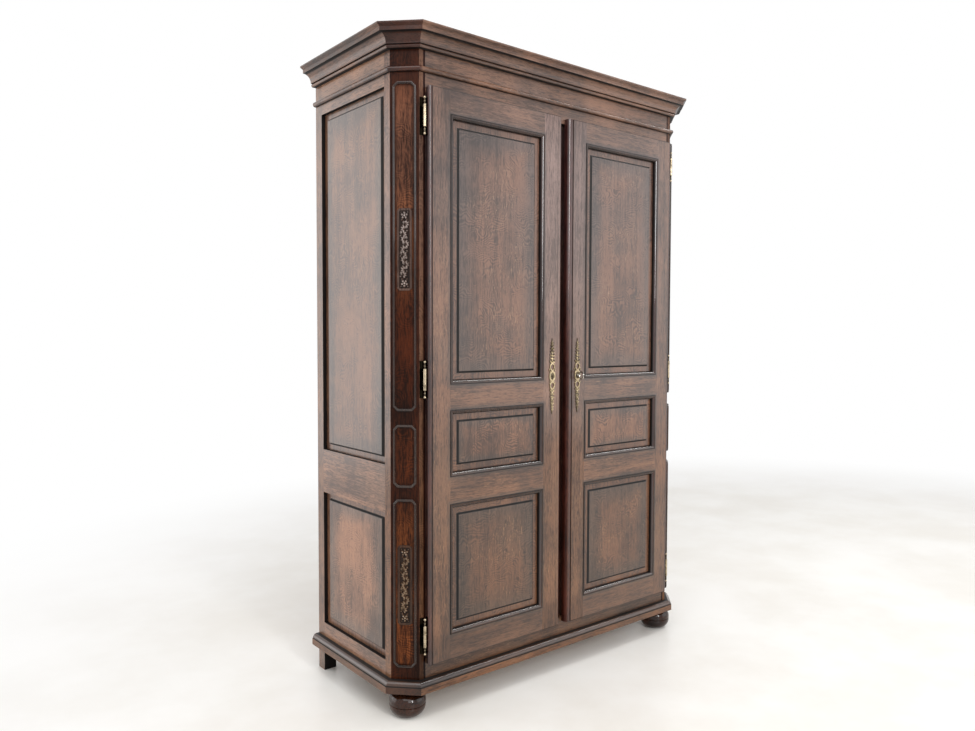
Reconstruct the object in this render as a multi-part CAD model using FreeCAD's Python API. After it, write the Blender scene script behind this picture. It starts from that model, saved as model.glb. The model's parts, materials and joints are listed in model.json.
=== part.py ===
"""Two-door kas cupboard with canted corner posts, in millimetres.

The origin is on the floor, under the middle of the overall box. X runs to the right as seen from the
front, +Y runs to the back and +Z is up. Pieces are drawn for the right-hand side and mirrored to the left.
"""
import FreeCAD, Part
import math
import os

# Overall sizes
total_height = 2000.0
case_width = 1245.0
case_depth = 520.0
corner_cut = 60.0

# Feet and base moulding
foot_height = 82.0
foot_diameter = 109.0
foot_neck_diameter = 64.0
foot_bottom_diameter = 52.0
foot_neck_height = 9.0
foot_inset = 53.0
foot_dowel_diameter = 25.0
foot_dowel_length = 45.0
foot_groove = 2.0
base_height = 35.0
base_projection = 25.0
base_fascia_height = 21.0
base_top_flat = 9.0
base_quirk = 2.0

# Crown, frieze and neck bead
crown_height = 60.0
crown_projection = 55.0
crown_edge = 4.5
crown_slope_width = 9.5
crown_slope_height = 6.0
crown_fillet_height = 11.0
crown_fillet_step = 4.5
crown_cove_foot = 18.0
crown_bead_height = 11.0
crown_quirk = 2.0
frieze_height = 47.0
bead_height = 16.0
bead_projection = 11.0
bead_flat = 3.0

# Carcass timbers
post_front_width = 81.0
post_side_width = 91.0
post_wall = 45.0
rear_stile_width = 40.0
rear_stile_thickness = 43.0
side_frame_thickness = 28.0
side_bottom_rail_rise = 46.0
side_lower_opening = 441.0
side_middle_rail = 143.0
side_top_drop = 33.0
front_rail_thickness = 28.0
door_lap = 15.0
centre_stile_width = 70.0
centre_stile_thickness = 30.0
centre_channel_width = 40.0
centre_channel_depth = 16.0
door_stop_width = 14.0
door_stop_thickness = 24.0
top_board_thickness = 18.0
top_board_drop = 2.0
bottom_board_thickness = 18.0
shelf_thickness = 20.0
shelf_count = 4
shelf_front_gap = 6.0
shelf_clear = 1.5
cleat_height = 35.0
bottom_cleat_height = 20.0
back_rail_thickness = 28.0
back_rail_height = 80.0
back_board_thickness = 12.0
back_board_count = 10
back_board_lap = 8.0
back_board_gap = 1.0

# Joinery
tenon_thickness = 10.0
tenon_length = 25.0
tenon_shoulder = 14.0
back_tenon_length = 18.0
joint_clear = 0.2
groove_depth = 10.0
cut_spare = 1.0
tongue_length = 8.0
tongue_thickness = 6.0

# Raised panels: depth below the frame, border width and slope of the field's edge
side_border_drop = 13.0
side_field_drop = 6.5
side_border = 25.0
side_border_end = 20.0
door_border_drop = 13.5
door_field_drop = 8.5
door_border = 33.0
field_edge_run = 4.0

# Doors
door_gap = 28.0
door_clear = 0.5
door_thickness = 22.0
door_bottom_lift = 44.0
door_top_drop = 39.0
door_lip = 8.0
door_rebate = 5.0
edge_strip_width = 12.0
edge_strip_drop = 2.0
edge_strip_round = 8.0
meeting_strip_width = 21.0
meeting_strip_round = 12.0
hinge_stile_width = 75.8
lock_stile_width = 80.7
door_bottom_rail = 75.0
door_lower_opening = 391.0
door_lower_rail = 82.0
door_middle_opening = 197.5
door_upper_rail = 76.5
door_top_rail = 69.0
door_tenon_thickness = 8.0
moulding_width = 13.0
moulding_lip = 3.0
moulding_lift = 1.5

# Lift-off hinges
hinge_inset = 70.0
hinge_stand_off = 13.5
hinge_edge_gap = 9.5
hinge_end_distance = 85.5
hinge_barrel_length = 62.0
hinge_barrel_radius = 4.6
hinge_pin_radius = 2.5
hinge_pin_length = 28.0
hinge_bore_clear = 0.1
hinge_split = 0.3
hinge_finial_length = 24.0
hinge_collar_length = 2.5
hinge_neck_length = 3.5
hinge_finial_radius = 3.0
hinge_neck_radius = 2.0
hinge_tip_radius = 3.9
hinge_leaf_width = 12.5
hinge_leaf_height = 108.0
hinge_leaf_thickness = 1.6
hinge_leaf_proud = 0.4
hinge_leaf_edge = 1.2
hinge_web = 3.5

# Locks, key and escutcheons
lock_height = 994.0
keyhole_offset = 58.0
lock_width = 50.0
lock_length = 76.0
lock_thickness = 13.0
lock_wall = 1.5
lock_stile_gap = 2.0
bolt_height = 18.0
bolt_head_length = 9.0
bolt_tail_length = 34.0
bolt_tail_thickness = 4.0
bolt_throw = 12.0
bolt_clear = 0.3
bolt_slot_room = 1.0
key_shaft_radius = 3.0
key_hole_clear = 0.5
key_reach = 31.5
key_bow_radius = 11.0
key_bow_bar = 2.3
key_bow_width = 5.0
key_collar_radius = 4.6
key_collar_length = 3.0
key_bit_height = 8.0
key_bit_thickness = 2.2
key_bit_length = 3.6
keyhole_slot = 3.4
escutcheon_height = 250.0
escutcheon_width = 28.0
escutcheon_thickness = 1.6
escutcheon_boss = 64.0
escutcheon_stem = 9.0
escutcheon_lobe_count = 3

# Ornament on the canted faces
post_frame_width = 69.0
post_frame_bar = 6.5
post_frame_proud = 9.0
post_frame_ridge = 3.0
post_frame_clip = 13.0
post_frame_bottom_gap = 37.0
post_frame_lower = 497.0
post_frame_lower_gap = 34.0
post_frame_middle = 183.0
post_frame_upper_gap = 40.0
post_frame_top_gap = 28.0
plaque_width = 43.0
plaque_height = 235.0
plaque_base = 2.5
plaque_relief = 5.0
plaque_leaf_relief = 3.8
plaque_leaf_pairs = 5
plaque_leaf_radius = 11.2
plaque_stem = 10.0
plaque_drop = 5.0

# Heights and planes worked out from the sizes above
half_width = case_width / 2
front = (crown_projection - case_depth) / 2
back = front + case_depth
base_top = foot_height + base_height
crown_bottom = total_height - crown_height
bead_top = crown_bottom - frieze_height
bead_bottom = bead_top - bead_height
case_top = total_height - top_board_drop - top_board_thickness
post_inner = half_width - post_front_width
side_inner = half_width - side_frame_thickness
post_rear = front + post_side_width
stile_front = back - rear_stile_width
stile_inner = half_width - rear_stile_thickness
back_rail_front = back - back_rail_thickness
back_board_front = back_rail_front - back_board_thickness
door_bottom = base_top + door_bottom_lift
door_top = bead_bottom - door_top_drop
door_back = front - door_clear
door_face = door_back - door_thickness
frame_bottom = door_bottom + door_lap
frame_top = door_top - door_lap
hinge_x = half_width - hinge_inset
hinge_y = front - hinge_stand_off
door_outer = hinge_x - hinge_edge_gap
door_inner = door_gap / 2
panel_left = door_inner + lock_stile_width
panel_right = door_outer - hinge_stile_width
floor_board_top = frame_bottom
floor_board_bottom = floor_board_top - bottom_board_thickness
lock_inner = centre_stile_width / 2 + lock_stile_gap
bolt_y0 = door_back + lock_wall + bolt_clear
bolt_y1 = door_back + lock_thickness - lock_wall - bolt_clear

nodes = {}


def vector(x, y, z):
    return FreeCAD.Vector(x, y, z)


def box(x0, x1, y0, y1, z0, z1):
    """A block between two corners."""
    return Part.makeBox(x1 - x0, y1 - y0, z1 - z0, vector(x0, y0, z0))


def grown(x0, x1, y0, y1, z0, z1, clear=joint_clear):
    """The block that cuts room for a block of these corners."""
    return box(x0 - clear, x1 + clear, y0 - clear, y1 + clear, z0 - clear, z1 + clear)


def outline(steps, place):
    """A closed face: a step is a corner, or a pair (point on the arc, arc's end)."""
    edges = []
    here = place(*steps[0])
    for step in steps[1:] + steps[:1]:
        if isinstance(step[0], tuple):
            end = place(*step[1])
            edges.append(Part.Arc(here, place(*step[0]), end).toShape())
        else:
            end = place(*step)
            edges.append(Part.LineSegment(here, end).toShape())
        here = end
    return Part.Face(Part.Wire(edges))


def column(plan, z0, z1):
    """A prism standing on a plan outline."""
    face = outline(plan, lambda x, y: vector(x, y, z0))
    return face.extrude(vector(0, 0, z1 - z0))


def turned(profile, x, y, z):
    """A turned solid from (radius, height) steps about an upright axis."""
    face = outline(profile, lambda radius, height: vector(x + radius, y, z + height))
    return face.revolve(vector(x, y, z), vector(0, 0, 1), 360)


def rod(radius, x, y0, y1, z):
    """A round rod along Y."""
    return Part.makeCylinder(radius, y1 - y0, vector(x, y0, z), vector(0, 1, 0))


def joined(shapes):
    """Shapes grown into one solid."""
    return shapes[0].multiFuse(shapes[1:]).removeSplitter() if len(shapes) > 1 else shapes[0]


def mirrored(shape):
    return shape.mirror(vector(0, 0, 0), vector(1, 0, 0))


def both_sides(shapes):
    return shapes + [mirrored(shape) for shape in shapes]


def add(name, shapes):
    """Keep a node: one solid, or a group of separate solids."""
    group = shapes if isinstance(shapes, list) else [shapes]
    nodes[name] = group[0] if len(group) == 1 else Part.makeCompound(group)


def add_pair(name, shapes):
    """Keep the right-hand node and its mirror image."""
    group = shapes if isinstance(shapes, list) else [shapes]
    add("right_" + name, group)
    add("left_" + name, [mirrored(shape) for shape in group])


def raised_panel(x0, x1, z0, z1, face, border_drop, field_drop, border, border_end):
    """A panel in its grooves, facing -Y, behind a frame whose face is at Y = face.

    The border is its width along the uprights, and border_end the width along the rails.
    """
    border_y = face + border_drop
    reach = tongue_length
    plate = box(x0 - reach, x1 + reach, border_y, border_y + tongue_thickness, z0 - reach, z1 + reach)
    run, run_end = border + field_edge_run, border_end + field_edge_run
    field = Part.makeWedge(x0 + run, face + field_drop, z0 + run_end, z0 + border_end, x0 + border,
                           x1 - run, border_y, z1 - run_end, z1 - border_end, x1 - border)
    return joined([plate, field])


def to_side(shape):
    """Turn a piece drawn facing -Y at X = depth so that it faces +X on the right side."""
    return shape.rotated(vector(0, 0, 0), vector(0, 0, 1), 90)


# Side frames: three rails and two panels between the post and the rear stile
side_rails = {
    "bottom": (foot_height, base_top + side_bottom_rail_rise),
    "middle": (base_top + side_bottom_rail_rise + side_lower_opening,
               base_top + side_bottom_rail_rise + side_lower_opening + side_middle_rail),
    "top": (bead_bottom - side_top_drop, case_top),
}
side_openings = {
    "lower": (side_rails["bottom"][1], side_rails["middle"][0]),
    "upper": (side_rails["middle"][1], side_rails["top"][0]),
}
front_rails = {
    "bottom": (foot_height, frame_bottom),
    "top": (frame_top, case_top),
}
back_rail_spans = [
    (foot_height, foot_height + back_rail_height),
    ((foot_height + case_top - back_rail_height) / 2, (foot_height + case_top + back_rail_height) / 2),
    (case_top - back_rail_height, case_top),
]
side_groove_out = half_width - side_border_drop
side_groove_in = side_groove_out - tongue_thickness
hinge_heights = [
    door_bottom + hinge_end_distance,
    (door_bottom + door_top) / 2,
    door_top - hinge_end_distance,
]


def side_tenon(span):
    """Corners of a side rail's tenoned core, from inside the post to inside the rear stile."""
    middle = half_width - side_frame_thickness / 2
    return (middle - tenon_thickness / 2, middle + tenon_thickness / 2,
            post_rear - tenon_length, stile_front + tenon_length,
            span[0] + tenon_shoulder, span[1] - tenon_shoulder)


def front_tenon(span):
    """Corners of a front rail's tenoned core, from post to post."""
    middle = front + front_rail_thickness / 2
    reach = post_inner + tenon_length
    return (-reach, reach, middle - tenon_thickness / 2, middle + tenon_thickness / 2,
            span[0] + tenon_shoulder, span[1] - tenon_shoulder)


def back_tenon(span):
    """Corners of a back rail's tenoned core, from stile to stile."""
    middle = back - back_rail_thickness / 2
    reach = stile_inner + back_tenon_length
    return (-reach, reach, middle - tenon_thickness / 2, middle + tenon_thickness / 2,
            span[0] + tenon_shoulder, span[1] - tenon_shoulder)


def side_groove(y0, y1, span):
    """The slot that holds the edge of a side panel."""
    return grown(side_groove_in, side_groove_out, y0, y1, span[0], span[1])


def hinge_leaf(z):
    """Corners of the case leaf of the hinge at height z, let into the post."""
    x1 = half_width - corner_cut - hinge_leaf_edge
    return (x1 - hinge_leaf_width, x1, front - hinge_leaf_proud,
            front - hinge_leaf_proud + hinge_leaf_thickness,
            z - hinge_leaf_height / 2, z + hinge_leaf_height / 2)


def corner_post():
    plan = [
        (post_inner, front), (half_width - corner_cut, front), (half_width, front + corner_cut),
        (half_width, post_rear), (half_width - post_wall, post_rear), (post_inner, front + post_wall),
    ]
    cuts = [grown(*side_tenon(span)) for span in side_rails.values()]
    cuts += [grown(*front_tenon(span)) for span in front_rails.values()]
    for bottom, top in side_openings.values():
        cuts.append(side_groove(post_rear - groove_depth, post_rear + cut_spare,
                                (bottom - groove_depth, top + groove_depth)))
    cuts += [box(*hinge_leaf(z)) for z in hinge_heights]
    cuts.append(Part.makeCylinder(foot_dowel_diameter / 2 + joint_clear, foot_dowel_length + joint_clear,
                                  vector(half_width - foot_inset, front + foot_inset, foot_height)))
    return column(plan, foot_height, case_top).cut(cuts)


def rear_stile():
    timber = box(stile_inner, half_width, stile_front, back, 0, case_top)
    cuts = [grown(*side_tenon(span)) for span in side_rails.values()]
    cuts += [grown(*back_tenon(span)) for span in back_rail_spans]
    for bottom, top in side_openings.values():
        cuts.append(side_groove(stile_front - cut_spare, stile_front + groove_depth,
                                (bottom - groove_depth, top + groove_depth)))
    return timber.cut(cuts)


def side_rail(span):
    timber = box(side_inner, half_width, post_rear, stile_front, span[0], span[1])
    rail = joined([timber, box(*side_tenon(span))])
    for bottom, top in side_openings.values():
        if top == span[0]:
            rail = rail.cut(side_groove(post_rear, stile_front, (span[0] - cut_spare, span[0] + groove_depth)))
        if bottom == span[1]:
            rail = rail.cut(side_groove(post_rear, stile_front, (span[1] - groove_depth, span[1] + cut_spare)))
    return rail


def side_panel(span):
    panel = raised_panel(post_rear, stile_front, span[0], span[1], -half_width,
                         side_border_drop, side_field_drop, side_border, side_border_end)
    return to_side(panel)


def front_rail(span):
    timber = box(-post_inner, post_inner, front, front + front_rail_thickness, span[0], span[1])
    rail = joined([timber, box(*front_tenon(span))])
    return rail.cut(grown(*centre_tenon()))


def centre_tenon():
    """Corners of the centre stile's stub tenons, into both front rails."""
    middle = front + centre_channel_depth + (centre_stile_thickness - centre_channel_depth) / 2
    return (-centre_channel_width / 2, centre_channel_width / 2,
            middle - tenon_thickness / 2, middle + tenon_thickness / 2,
            frame_bottom - tenon_length, frame_top + tenon_length)


def centre_stile():
    """Fixed stile behind the gap between the doors: a deep front channel, and a slot for each bolt."""
    half = centre_stile_width / 2
    timber = box(-half, half, front, front + centre_stile_thickness, frame_bottom, frame_top)
    channel = box(-centre_channel_width / 2, centre_channel_width / 2, front, front + centre_channel_depth,
                  frame_bottom, frame_top)
    slot = grown(lock_inner - bolt_throw, half, bolt_y0, bolt_y1,
                 lock_height - bolt_height / 2, lock_height + bolt_height / 2, bolt_slot_room)
    return joined([timber.cut(channel), box(*centre_tenon())]).cut(both_sides([slot]))


def door_stop():
    return box(post_inner - door_stop_width, post_inner, front, front + door_stop_thickness,
               frame_bottom, frame_top)


def back_rail(span):
    timber = box(-stile_inner, stile_inner, back_rail_front, back, span[0], span[1])
    return joined([timber, box(*back_tenon(span))])


def back_boards():
    """Upright boards, lapped over one another, in front of the back rails."""
    pitch = 2 * stile_inner / back_board_count
    mid = back_board_front + back_board_thickness / 2
    boards = []
    for number in range(back_board_count):
        x0 = -stile_inner + number * pitch
        x1 = x0 + pitch - back_board_gap
        lap = back_board_lap if number < back_board_count - 1 else 0
        start = back_board_lap if number else 0
        plan = [(x0, back_board_front), (x1, back_board_front), (x1, mid), (x1 + lap, mid),
                (x1 + lap, back_rail_front), (x0 + start, back_rail_front), (x0 + start, mid), (x0, mid)]
        corners = [plan[0], plan[1]] + ([plan[2], plan[3]] if lap else []) + [plan[4], plan[5]]
        corners += [plan[6], plan[7]] if start else []
        boards.append(column(corners, foot_height, case_top))
    return boards


def shelf(y0, z1, thickness):
    """A board between the side frames, cut round the posts, from y0 to the back boards."""
    inner = post_inner - shelf_clear
    bend = front + post_wall + shelf_clear
    outer = half_width - post_wall - shelf_clear
    rear_of_post = post_rear + shelf_clear
    edge = side_inner - shelf_clear
    half = [(inner, y0), (inner, bend), (outer, rear_of_post), (edge, rear_of_post),
            (edge, stile_front - shelf_clear), (stile_inner - shelf_clear, stile_front - shelf_clear),
            (stile_inner - shelf_clear, back_board_front)]
    plan = half + [(-x, y) for x, y in reversed(half)]
    return column(plan, z1 - thickness, z1)


def shelf_tops():
    room = (case_top - floor_board_top - shelf_count * shelf_thickness) / (shelf_count + 1)
    return [floor_board_top + number * (room + shelf_thickness) for number in range(1, shelf_count + 1)]


def cleat(z1, height):
    """A bearer between the post and the rear stile."""
    return box(half_width - post_wall, side_inner, post_rear, stile_front, z1 - height, z1)


def top_board():
    """Board over the whole plan of the case, inside the crown."""
    half = [(half_width - corner_cut, front), (half_width, front + corner_cut), (half_width, back)]
    plan = half + [(-x, y) for x, y in reversed(half)]
    return column(plan, case_top, case_top + top_board_thickness)


# Mouldings that run round the front, the canted corners and the sides
mitre = math.tan(math.radians(22.5))


def run_corners(reach):
    """Plan corners of the run at a distance outside the case, right-hand half."""
    return [(half_width - corner_cut + reach * mitre, front - reach),
            (half_width + reach, front + corner_cut - reach * mitre),
            (half_width + reach, back)]


def moulding_length(start, end, start_out, end_out, profile, heights):
    """One mitred length: the profile drawn along start-end, trimmed to its plan."""
    along = vector(end[0] - start[0], end[1] - start[1], 0)
    unit = vector(along.x, along.y, 0).normalize()
    out = vector(unit.y, -unit.x, 0)
    origin = vector(start[0], start[1], 0)
    spare = unit * crown_projection
    face = outline(profile, lambda reach, z: origin - spare + out * reach + vector(0, 0, z))
    bar = face.extrude(along + spare * 2)
    return bar.common(column([start, end, end_out, start_out], *heights))


def moulding_run(profile, heights, reach):
    """Front, right corner and right side lengths of a moulding."""
    inner, outer = run_corners(0), run_corners(reach)
    front_start, front_out = (-inner[0][0], inner[0][1]), (-outer[0][0], outer[0][1])
    return {
        "front": moulding_length(front_start, inner[0], front_out, outer[0], profile, heights),
        "corner": moulding_length(inner[0], inner[1], outer[0], outer[1], profile, heights),
        "side": moulding_length(inner[1], inner[2], outer[1], outer[2], profile, heights),
    }


def crown_profile():
    """Edge, slope, fillet, deep cove and a small bead, as (reach, height)."""
    top = total_height
    slope_z = top - crown_edge - crown_slope_height
    fillet = crown_projection - crown_slope_width
    fillet_z = slope_z - crown_fillet_height
    cove_top = fillet - crown_fillet_step
    cove_z = crown_bottom + crown_bead_height
    sag = 1 - math.sqrt(0.5)
    cove_mid = (crown_cove_foot + (cove_top - crown_cove_foot) * sag, fillet_z + (cove_z - fillet_z) * sag)
    bead_out = crown_cove_foot - crown_quirk
    bead_mid = (bead_out, crown_bottom + crown_bead_height / 2)
    bead_end = (bead_out - crown_bead_height / 2, crown_bottom)
    return [
        (0, top), (crown_projection, top), (crown_projection, top - crown_edge), (fillet, slope_z),
        (fillet, fillet_z), (cove_top, fillet_z), (cove_mid, (crown_cove_foot, cove_z)),
        (bead_end[0], cove_z), (bead_mid, bead_end), (0, crown_bottom),
    ]


def neck_profile():
    """Half-round bead."""
    mid = (bead_bottom + bead_top) / 2
    return [(0, bead_bottom), (bead_flat, bead_bottom), ((bead_projection, mid), (bead_flat, bead_top)),
            (0, bead_top)]


def base_profile():
    """Flat ledge, quarter round, quirk and upright fascia."""
    fascia_top = foot_height + base_fascia_height
    round_foot = base_projection - base_quirk
    drop = base_top - fascia_top
    round_mid = (base_top_flat + (round_foot - base_top_flat) * math.sqrt(0.5),
                 base_top - drop * (1 - math.sqrt(0.5)))
    return [(0, foot_height), (base_projection, foot_height), (base_projection, fascia_top),
            (round_foot, fascia_top), (round_mid, (base_top_flat, base_top)), (0, base_top)]


def bun_foot():
    """Turned bun with a neck, a fine groove at its widest and a dowel into the post."""
    neck, widest, bottom = foot_neck_diameter / 2, foot_diameter / 2, foot_bottom_diameter / 2
    shoulder = foot_height - foot_neck_height
    middle = shoulder / 2
    groove_low, groove_high = middle - foot_groove / 2, middle + foot_groove / 2
    swell = math.sqrt(0.5)
    low_mid = (bottom + (widest - bottom) * swell, groove_low * (1 - swell))
    high_mid = (neck + (widest - neck) * swell, groove_high + (shoulder - groove_high) * swell)
    profile = [
        (0, 0), (bottom, 0), (low_mid, (widest, groove_low)), (widest - foot_groove, middle),
        (widest, groove_high), (high_mid, (neck, shoulder)), (neck, foot_height), (0, foot_height),
    ]
    x, y = half_width - foot_inset, front + foot_inset
    bun = turned(profile, x, y, 0)
    dowel = Part.makeCylinder(foot_dowel_diameter / 2, foot_dowel_length, vector(x, y, foot_height))
    return joined([bun, dowel])


def on_cant(shape):
    """Move an ornament drawn about X = 0 on the plane Y = 0 to the right canted face."""
    turned_shape = shape.rotated(vector(0, 0, 0), vector(0, 0, 1), 45)
    return turned_shape.translated(vector(half_width - corner_cut / 2, front + corner_cut / 2, 0))


def clipped_slab(half, z0, z1, inset, proud):
    """A slab with clipped corners, inset from a frame's outline."""
    clip = post_frame_clip - inset * mitre * math.sqrt(2)
    x, low, high = half - inset, z0 + inset, z1 - inset
    steps = [(x - clip, low), (x, low + clip), (x, high - clip), (x - clip, high),
             (clip - x, high), (-x, high - clip), (-x, low + clip), (clip - x, low)]
    return outline(steps, lambda u, z: vector(u, 0, z)).extrude(vector(0, -proud, 0))


def post_frame(z0, z1):
    """A raised moulding in a frame with clipped corners, with a ridge along its middle."""
    half = post_frame_width / 2
    ridge_inset = (post_frame_bar - post_frame_ridge) / 2
    low = clipped_slab(half, z0, z1, 0, post_frame_proud / 2)
    low = low.cut(clipped_slab(half, z0, z1, post_frame_bar, post_frame_proud))
    high = clipped_slab(half, z0, z1, ridge_inset, post_frame_proud)
    high = high.cut(clipped_slab(half, z0, z1, ridge_inset + post_frame_ridge, post_frame_proud))
    return on_cant(joined([low, high]))


def post_frame_spans():
    lower = base_top + post_frame_bottom_gap
    middle = lower + post_frame_lower + post_frame_lower_gap
    upper = middle + post_frame_middle + post_frame_upper_gap
    return [(lower, lower + post_frame_lower), (middle, middle + post_frame_middle),
            (upper, bead_bottom - post_frame_top_gap)]


def disc(radius, u, z, proud):
    """A low round boss on the plane Y = 0, standing out to -Y."""
    return Part.makeCylinder(radius, proud, vector(u, 0, z), vector(0, -1, 0))


def plaque(centre):
    """Carved plaque in outline: a stem with pairs of leaf bosses round a larger middle rosette."""
    half = plaque_width / 2
    pitch = plaque_height / (2 * plaque_leaf_pairs)
    ends = plaque_height / 2
    spread = half - plaque_leaf_radius
    bodies = [disc(half, 0, centre, plaque_relief)]
    bodies.append(box(-plaque_stem / 2, plaque_stem / 2, -plaque_base, 0, centre - ends, centre + ends))
    for number in range(1, plaque_leaf_pairs):
        for z in (centre - pitch * number, centre + pitch * number):
            bodies += [disc(plaque_leaf_radius, sign * spread, z, plaque_leaf_relief) for sign in (-1, 1)]
    return on_cant(joined(bodies))


def hinge_finial(direction):
    """Steps (radius, height) of a turned finial from the barrel's end: collar, neck, bead, neck and ball."""
    end = hinge_barrel_length / 2
    collar = end + hinge_collar_length
    neck = collar + hinge_neck_length
    ball = neck + math.sqrt(hinge_finial_radius ** 2 - hinge_neck_radius ** 2)
    shoulder = ball + math.sqrt(hinge_finial_radius ** 2 - hinge_neck_radius ** 2)
    tip = end + hinge_finial_length
    small = tip - hinge_tip_radius
    upper_neck = small - math.sqrt(hinge_tip_radius ** 2 - hinge_neck_radius ** 2)
    steps = [
        (hinge_barrel_radius, end), (hinge_neck_radius, collar), (hinge_neck_radius, neck),
        ((hinge_finial_radius, ball), (hinge_neck_radius, shoulder)), (hinge_neck_radius, upper_neck),
        ((hinge_tip_radius, small), (0, tip)),
    ]
    flipped = []
    for step in steps:
        if isinstance(step[0], tuple):
            flipped.append(tuple((radius, direction * height) for radius, height in step))
        else:
            flipped.append((step[0], direction * step[1]))
    return flipped


def case_hinge(z):
    """Leaf on the post, lower knuckle with its finial, and the pin that carries the door."""
    steps = [(0, hinge_pin_length), (hinge_pin_radius, hinge_pin_length), (hinge_pin_radius, 0),
             (hinge_barrel_radius, 0)] + hinge_finial(-1)
    knuckle = turned(steps, hinge_x, hinge_y, z)
    leaf = box(*hinge_leaf(z))
    web = box(hinge_x - hinge_web / 2, hinge_x + hinge_web / 2, hinge_y, front,
              z - hinge_barrel_length / 2, z)
    return joined([knuckle, leaf, web])


def door_hinge(z):
    """Leaf on the door's edge and the upper knuckle, bored for the pin."""
    bore = hinge_pin_radius + hinge_bore_clear
    room = hinge_pin_length + hinge_split
    steps = [(0, room), (bore, room), (bore, hinge_split), (hinge_barrel_radius, hinge_split)]
    knuckle = turned(steps + hinge_finial(1), hinge_x, hinge_y, z)
    edge = door_outer - door_rebate
    leaf = box(edge, edge + hinge_leaf_thickness, door_face + door_lip + joint_clear, door_back,
               z - hinge_leaf_height / 2, z + hinge_leaf_height / 2)
    wrap = hinge_x - (bore + hinge_barrel_radius) / 2
    web = box(edge, wrap, hinge_y, hinge_y + hinge_leaf_thickness,
              z + hinge_split, z + hinge_barrel_length / 2)
    return joined([knuckle, leaf, web])


# Doors, drawn as the right-hand door
def door_rails():
    """Heights of the four rails, bottom to top."""
    bottom = door_bottom
    spans = [(bottom, bottom + door_bottom_rail)]
    lower = spans[0][1] + door_lower_opening
    spans.append((lower, lower + door_lower_rail))
    upper = spans[1][1] + door_middle_opening
    spans.append((upper, upper + door_upper_rail))
    spans.append((door_top - door_top_rail, door_top))
    return spans


def door_openings():
    """Heights of the three panel openings, bottom to top."""
    rails = door_rails()
    return {name: (rails[number][1], rails[number + 1][0])
            for number, name in enumerate(("lower", "middle", "upper"))}


def door_tenon(span):
    """Corners of a door rail's tenoned core, from stile to stile."""
    middle = door_face + door_border_drop + tongue_thickness / 2
    return (panel_left - tenon_length, panel_right + tenon_length,
            middle - door_tenon_thickness / 2, middle + door_tenon_thickness / 2,
            span[0] + tenon_shoulder, span[1] - tenon_shoulder)


def door_groove(x0, x1, z0, z1):
    """The slot that holds the edge of a door panel."""
    border = door_face + door_border_drop
    return grown(x0, x1, border, border + tongue_thickness, z0, z1)


def edge_strip(x, inward, width, radius):
    """Room cut off a stile's face for the strip along its edge: a shallow step, then a round nose."""
    step = x + inward * width
    low = door_face + edge_strip_drop
    sag = radius * (1 - math.sqrt(0.5))
    steps = [(x, door_face), (step, door_face), (step, low), (x + inward * radius, low),
             ((x + inward * sag, low + sag), (x, low + radius))]
    return column(steps, door_bottom, door_top)


def stile_grooves(x0, x1):
    return [door_groove(x0, x1, low - groove_depth, high + groove_depth)
            for low, high in door_openings().values()]


def keyhole(y0, y1):
    """Round hole with a slot below it, for the key's shaft and bit."""
    radius = key_shaft_radius + key_hole_clear
    slot = box(keyhole_offset - keyhole_slot / 2, keyhole_offset + keyhole_slot / 2, y0, y1,
               lock_height - key_shaft_radius - key_bit_height - key_hole_clear, lock_height)
    return joined([rod(radius, keyhole_offset, y0, y1, lock_height), slot])


def hinge_stile():
    """Stile with a lip: behind the lip it is set back, to leave room for the hinges."""
    timber = box(panel_right, door_outer, door_face, door_back, door_bottom, door_top)
    cuts = [grown(*door_tenon(span)) for span in door_rails()]
    cuts += stile_grooves(panel_right - cut_spare, panel_right + groove_depth)
    cuts.append(edge_strip(door_outer, -1, edge_strip_width, edge_strip_round))
    cuts.append(box(door_outer - door_rebate, door_outer, door_face + door_lip, door_back,
                    door_bottom, door_top))
    return timber.cut(cuts)


def lock_stile():
    timber = box(door_inner, panel_left, door_face, door_back, door_bottom, door_top)
    cuts = [grown(*door_tenon(span)) for span in door_rails()]
    cuts += stile_grooves(panel_left - groove_depth, panel_left + cut_spare)
    cuts.append(edge_strip(door_inner, 1, meeting_strip_width, meeting_strip_round))
    cuts.append(keyhole(door_face, door_back))
    return timber.cut(cuts)


def door_rail(span):
    timber = box(panel_left, panel_right, door_face, door_back, span[0], span[1])
    rail = joined([timber, box(*door_tenon(span))])
    cuts = []
    if span[0] > door_bottom:
        cuts.append(door_groove(panel_left, panel_right, span[0] - cut_spare, span[0] + groove_depth))
    if span[1] < door_top:
        cuts.append(door_groove(panel_left, panel_right, span[1] - groove_depth, span[1] + cut_spare))
    return rail.cut(cuts)


def panel_moulding(span):
    """Four mitred lengths round a panel opening, from the frame's face down to the panel."""
    depth = door_border_drop
    low = depth - moulding_lip
    swell = math.sqrt(0.5)
    run = moulding_width - moulding_lip
    mid = (moulding_lip + run * swell, -moulding_lift + (low + moulding_lift) * (1 - swell))
    profile = [(0, depth), (0, -moulding_lift), (moulding_lip, -moulding_lift), (mid, (moulding_width, low)),
               (moulding_width, depth)]
    wide, tall = panel_right - panel_left, span[1] - span[0]
    corners = [(panel_left, span[0], wide), (panel_right, span[0], tall),
               (panel_right, span[1], wide), (panel_left, span[1], tall)]
    strips = []
    for number, (x, z, length) in enumerate(corners):
        face = outline(profile, lambda inward, y: vector(0, y, inward))
        bar = face.extrude(vector(length, 0, 0))
        ends = [(0, 0), (length, 0), (length - moulding_width, moulding_width),
                (moulding_width, moulding_width)]
        plan = outline(ends, lambda u, v: vector(u, -moulding_lift, v))
        strip = bar.common(plan.extrude(vector(0, depth + moulding_lift, 0)))
        turned_strip = strip.rotated(vector(0, 0, 0), vector(0, 1, 0), -90 * number)
        strips.append(turned_strip.translated(vector(x, door_face, z)))
    return strips


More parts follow.
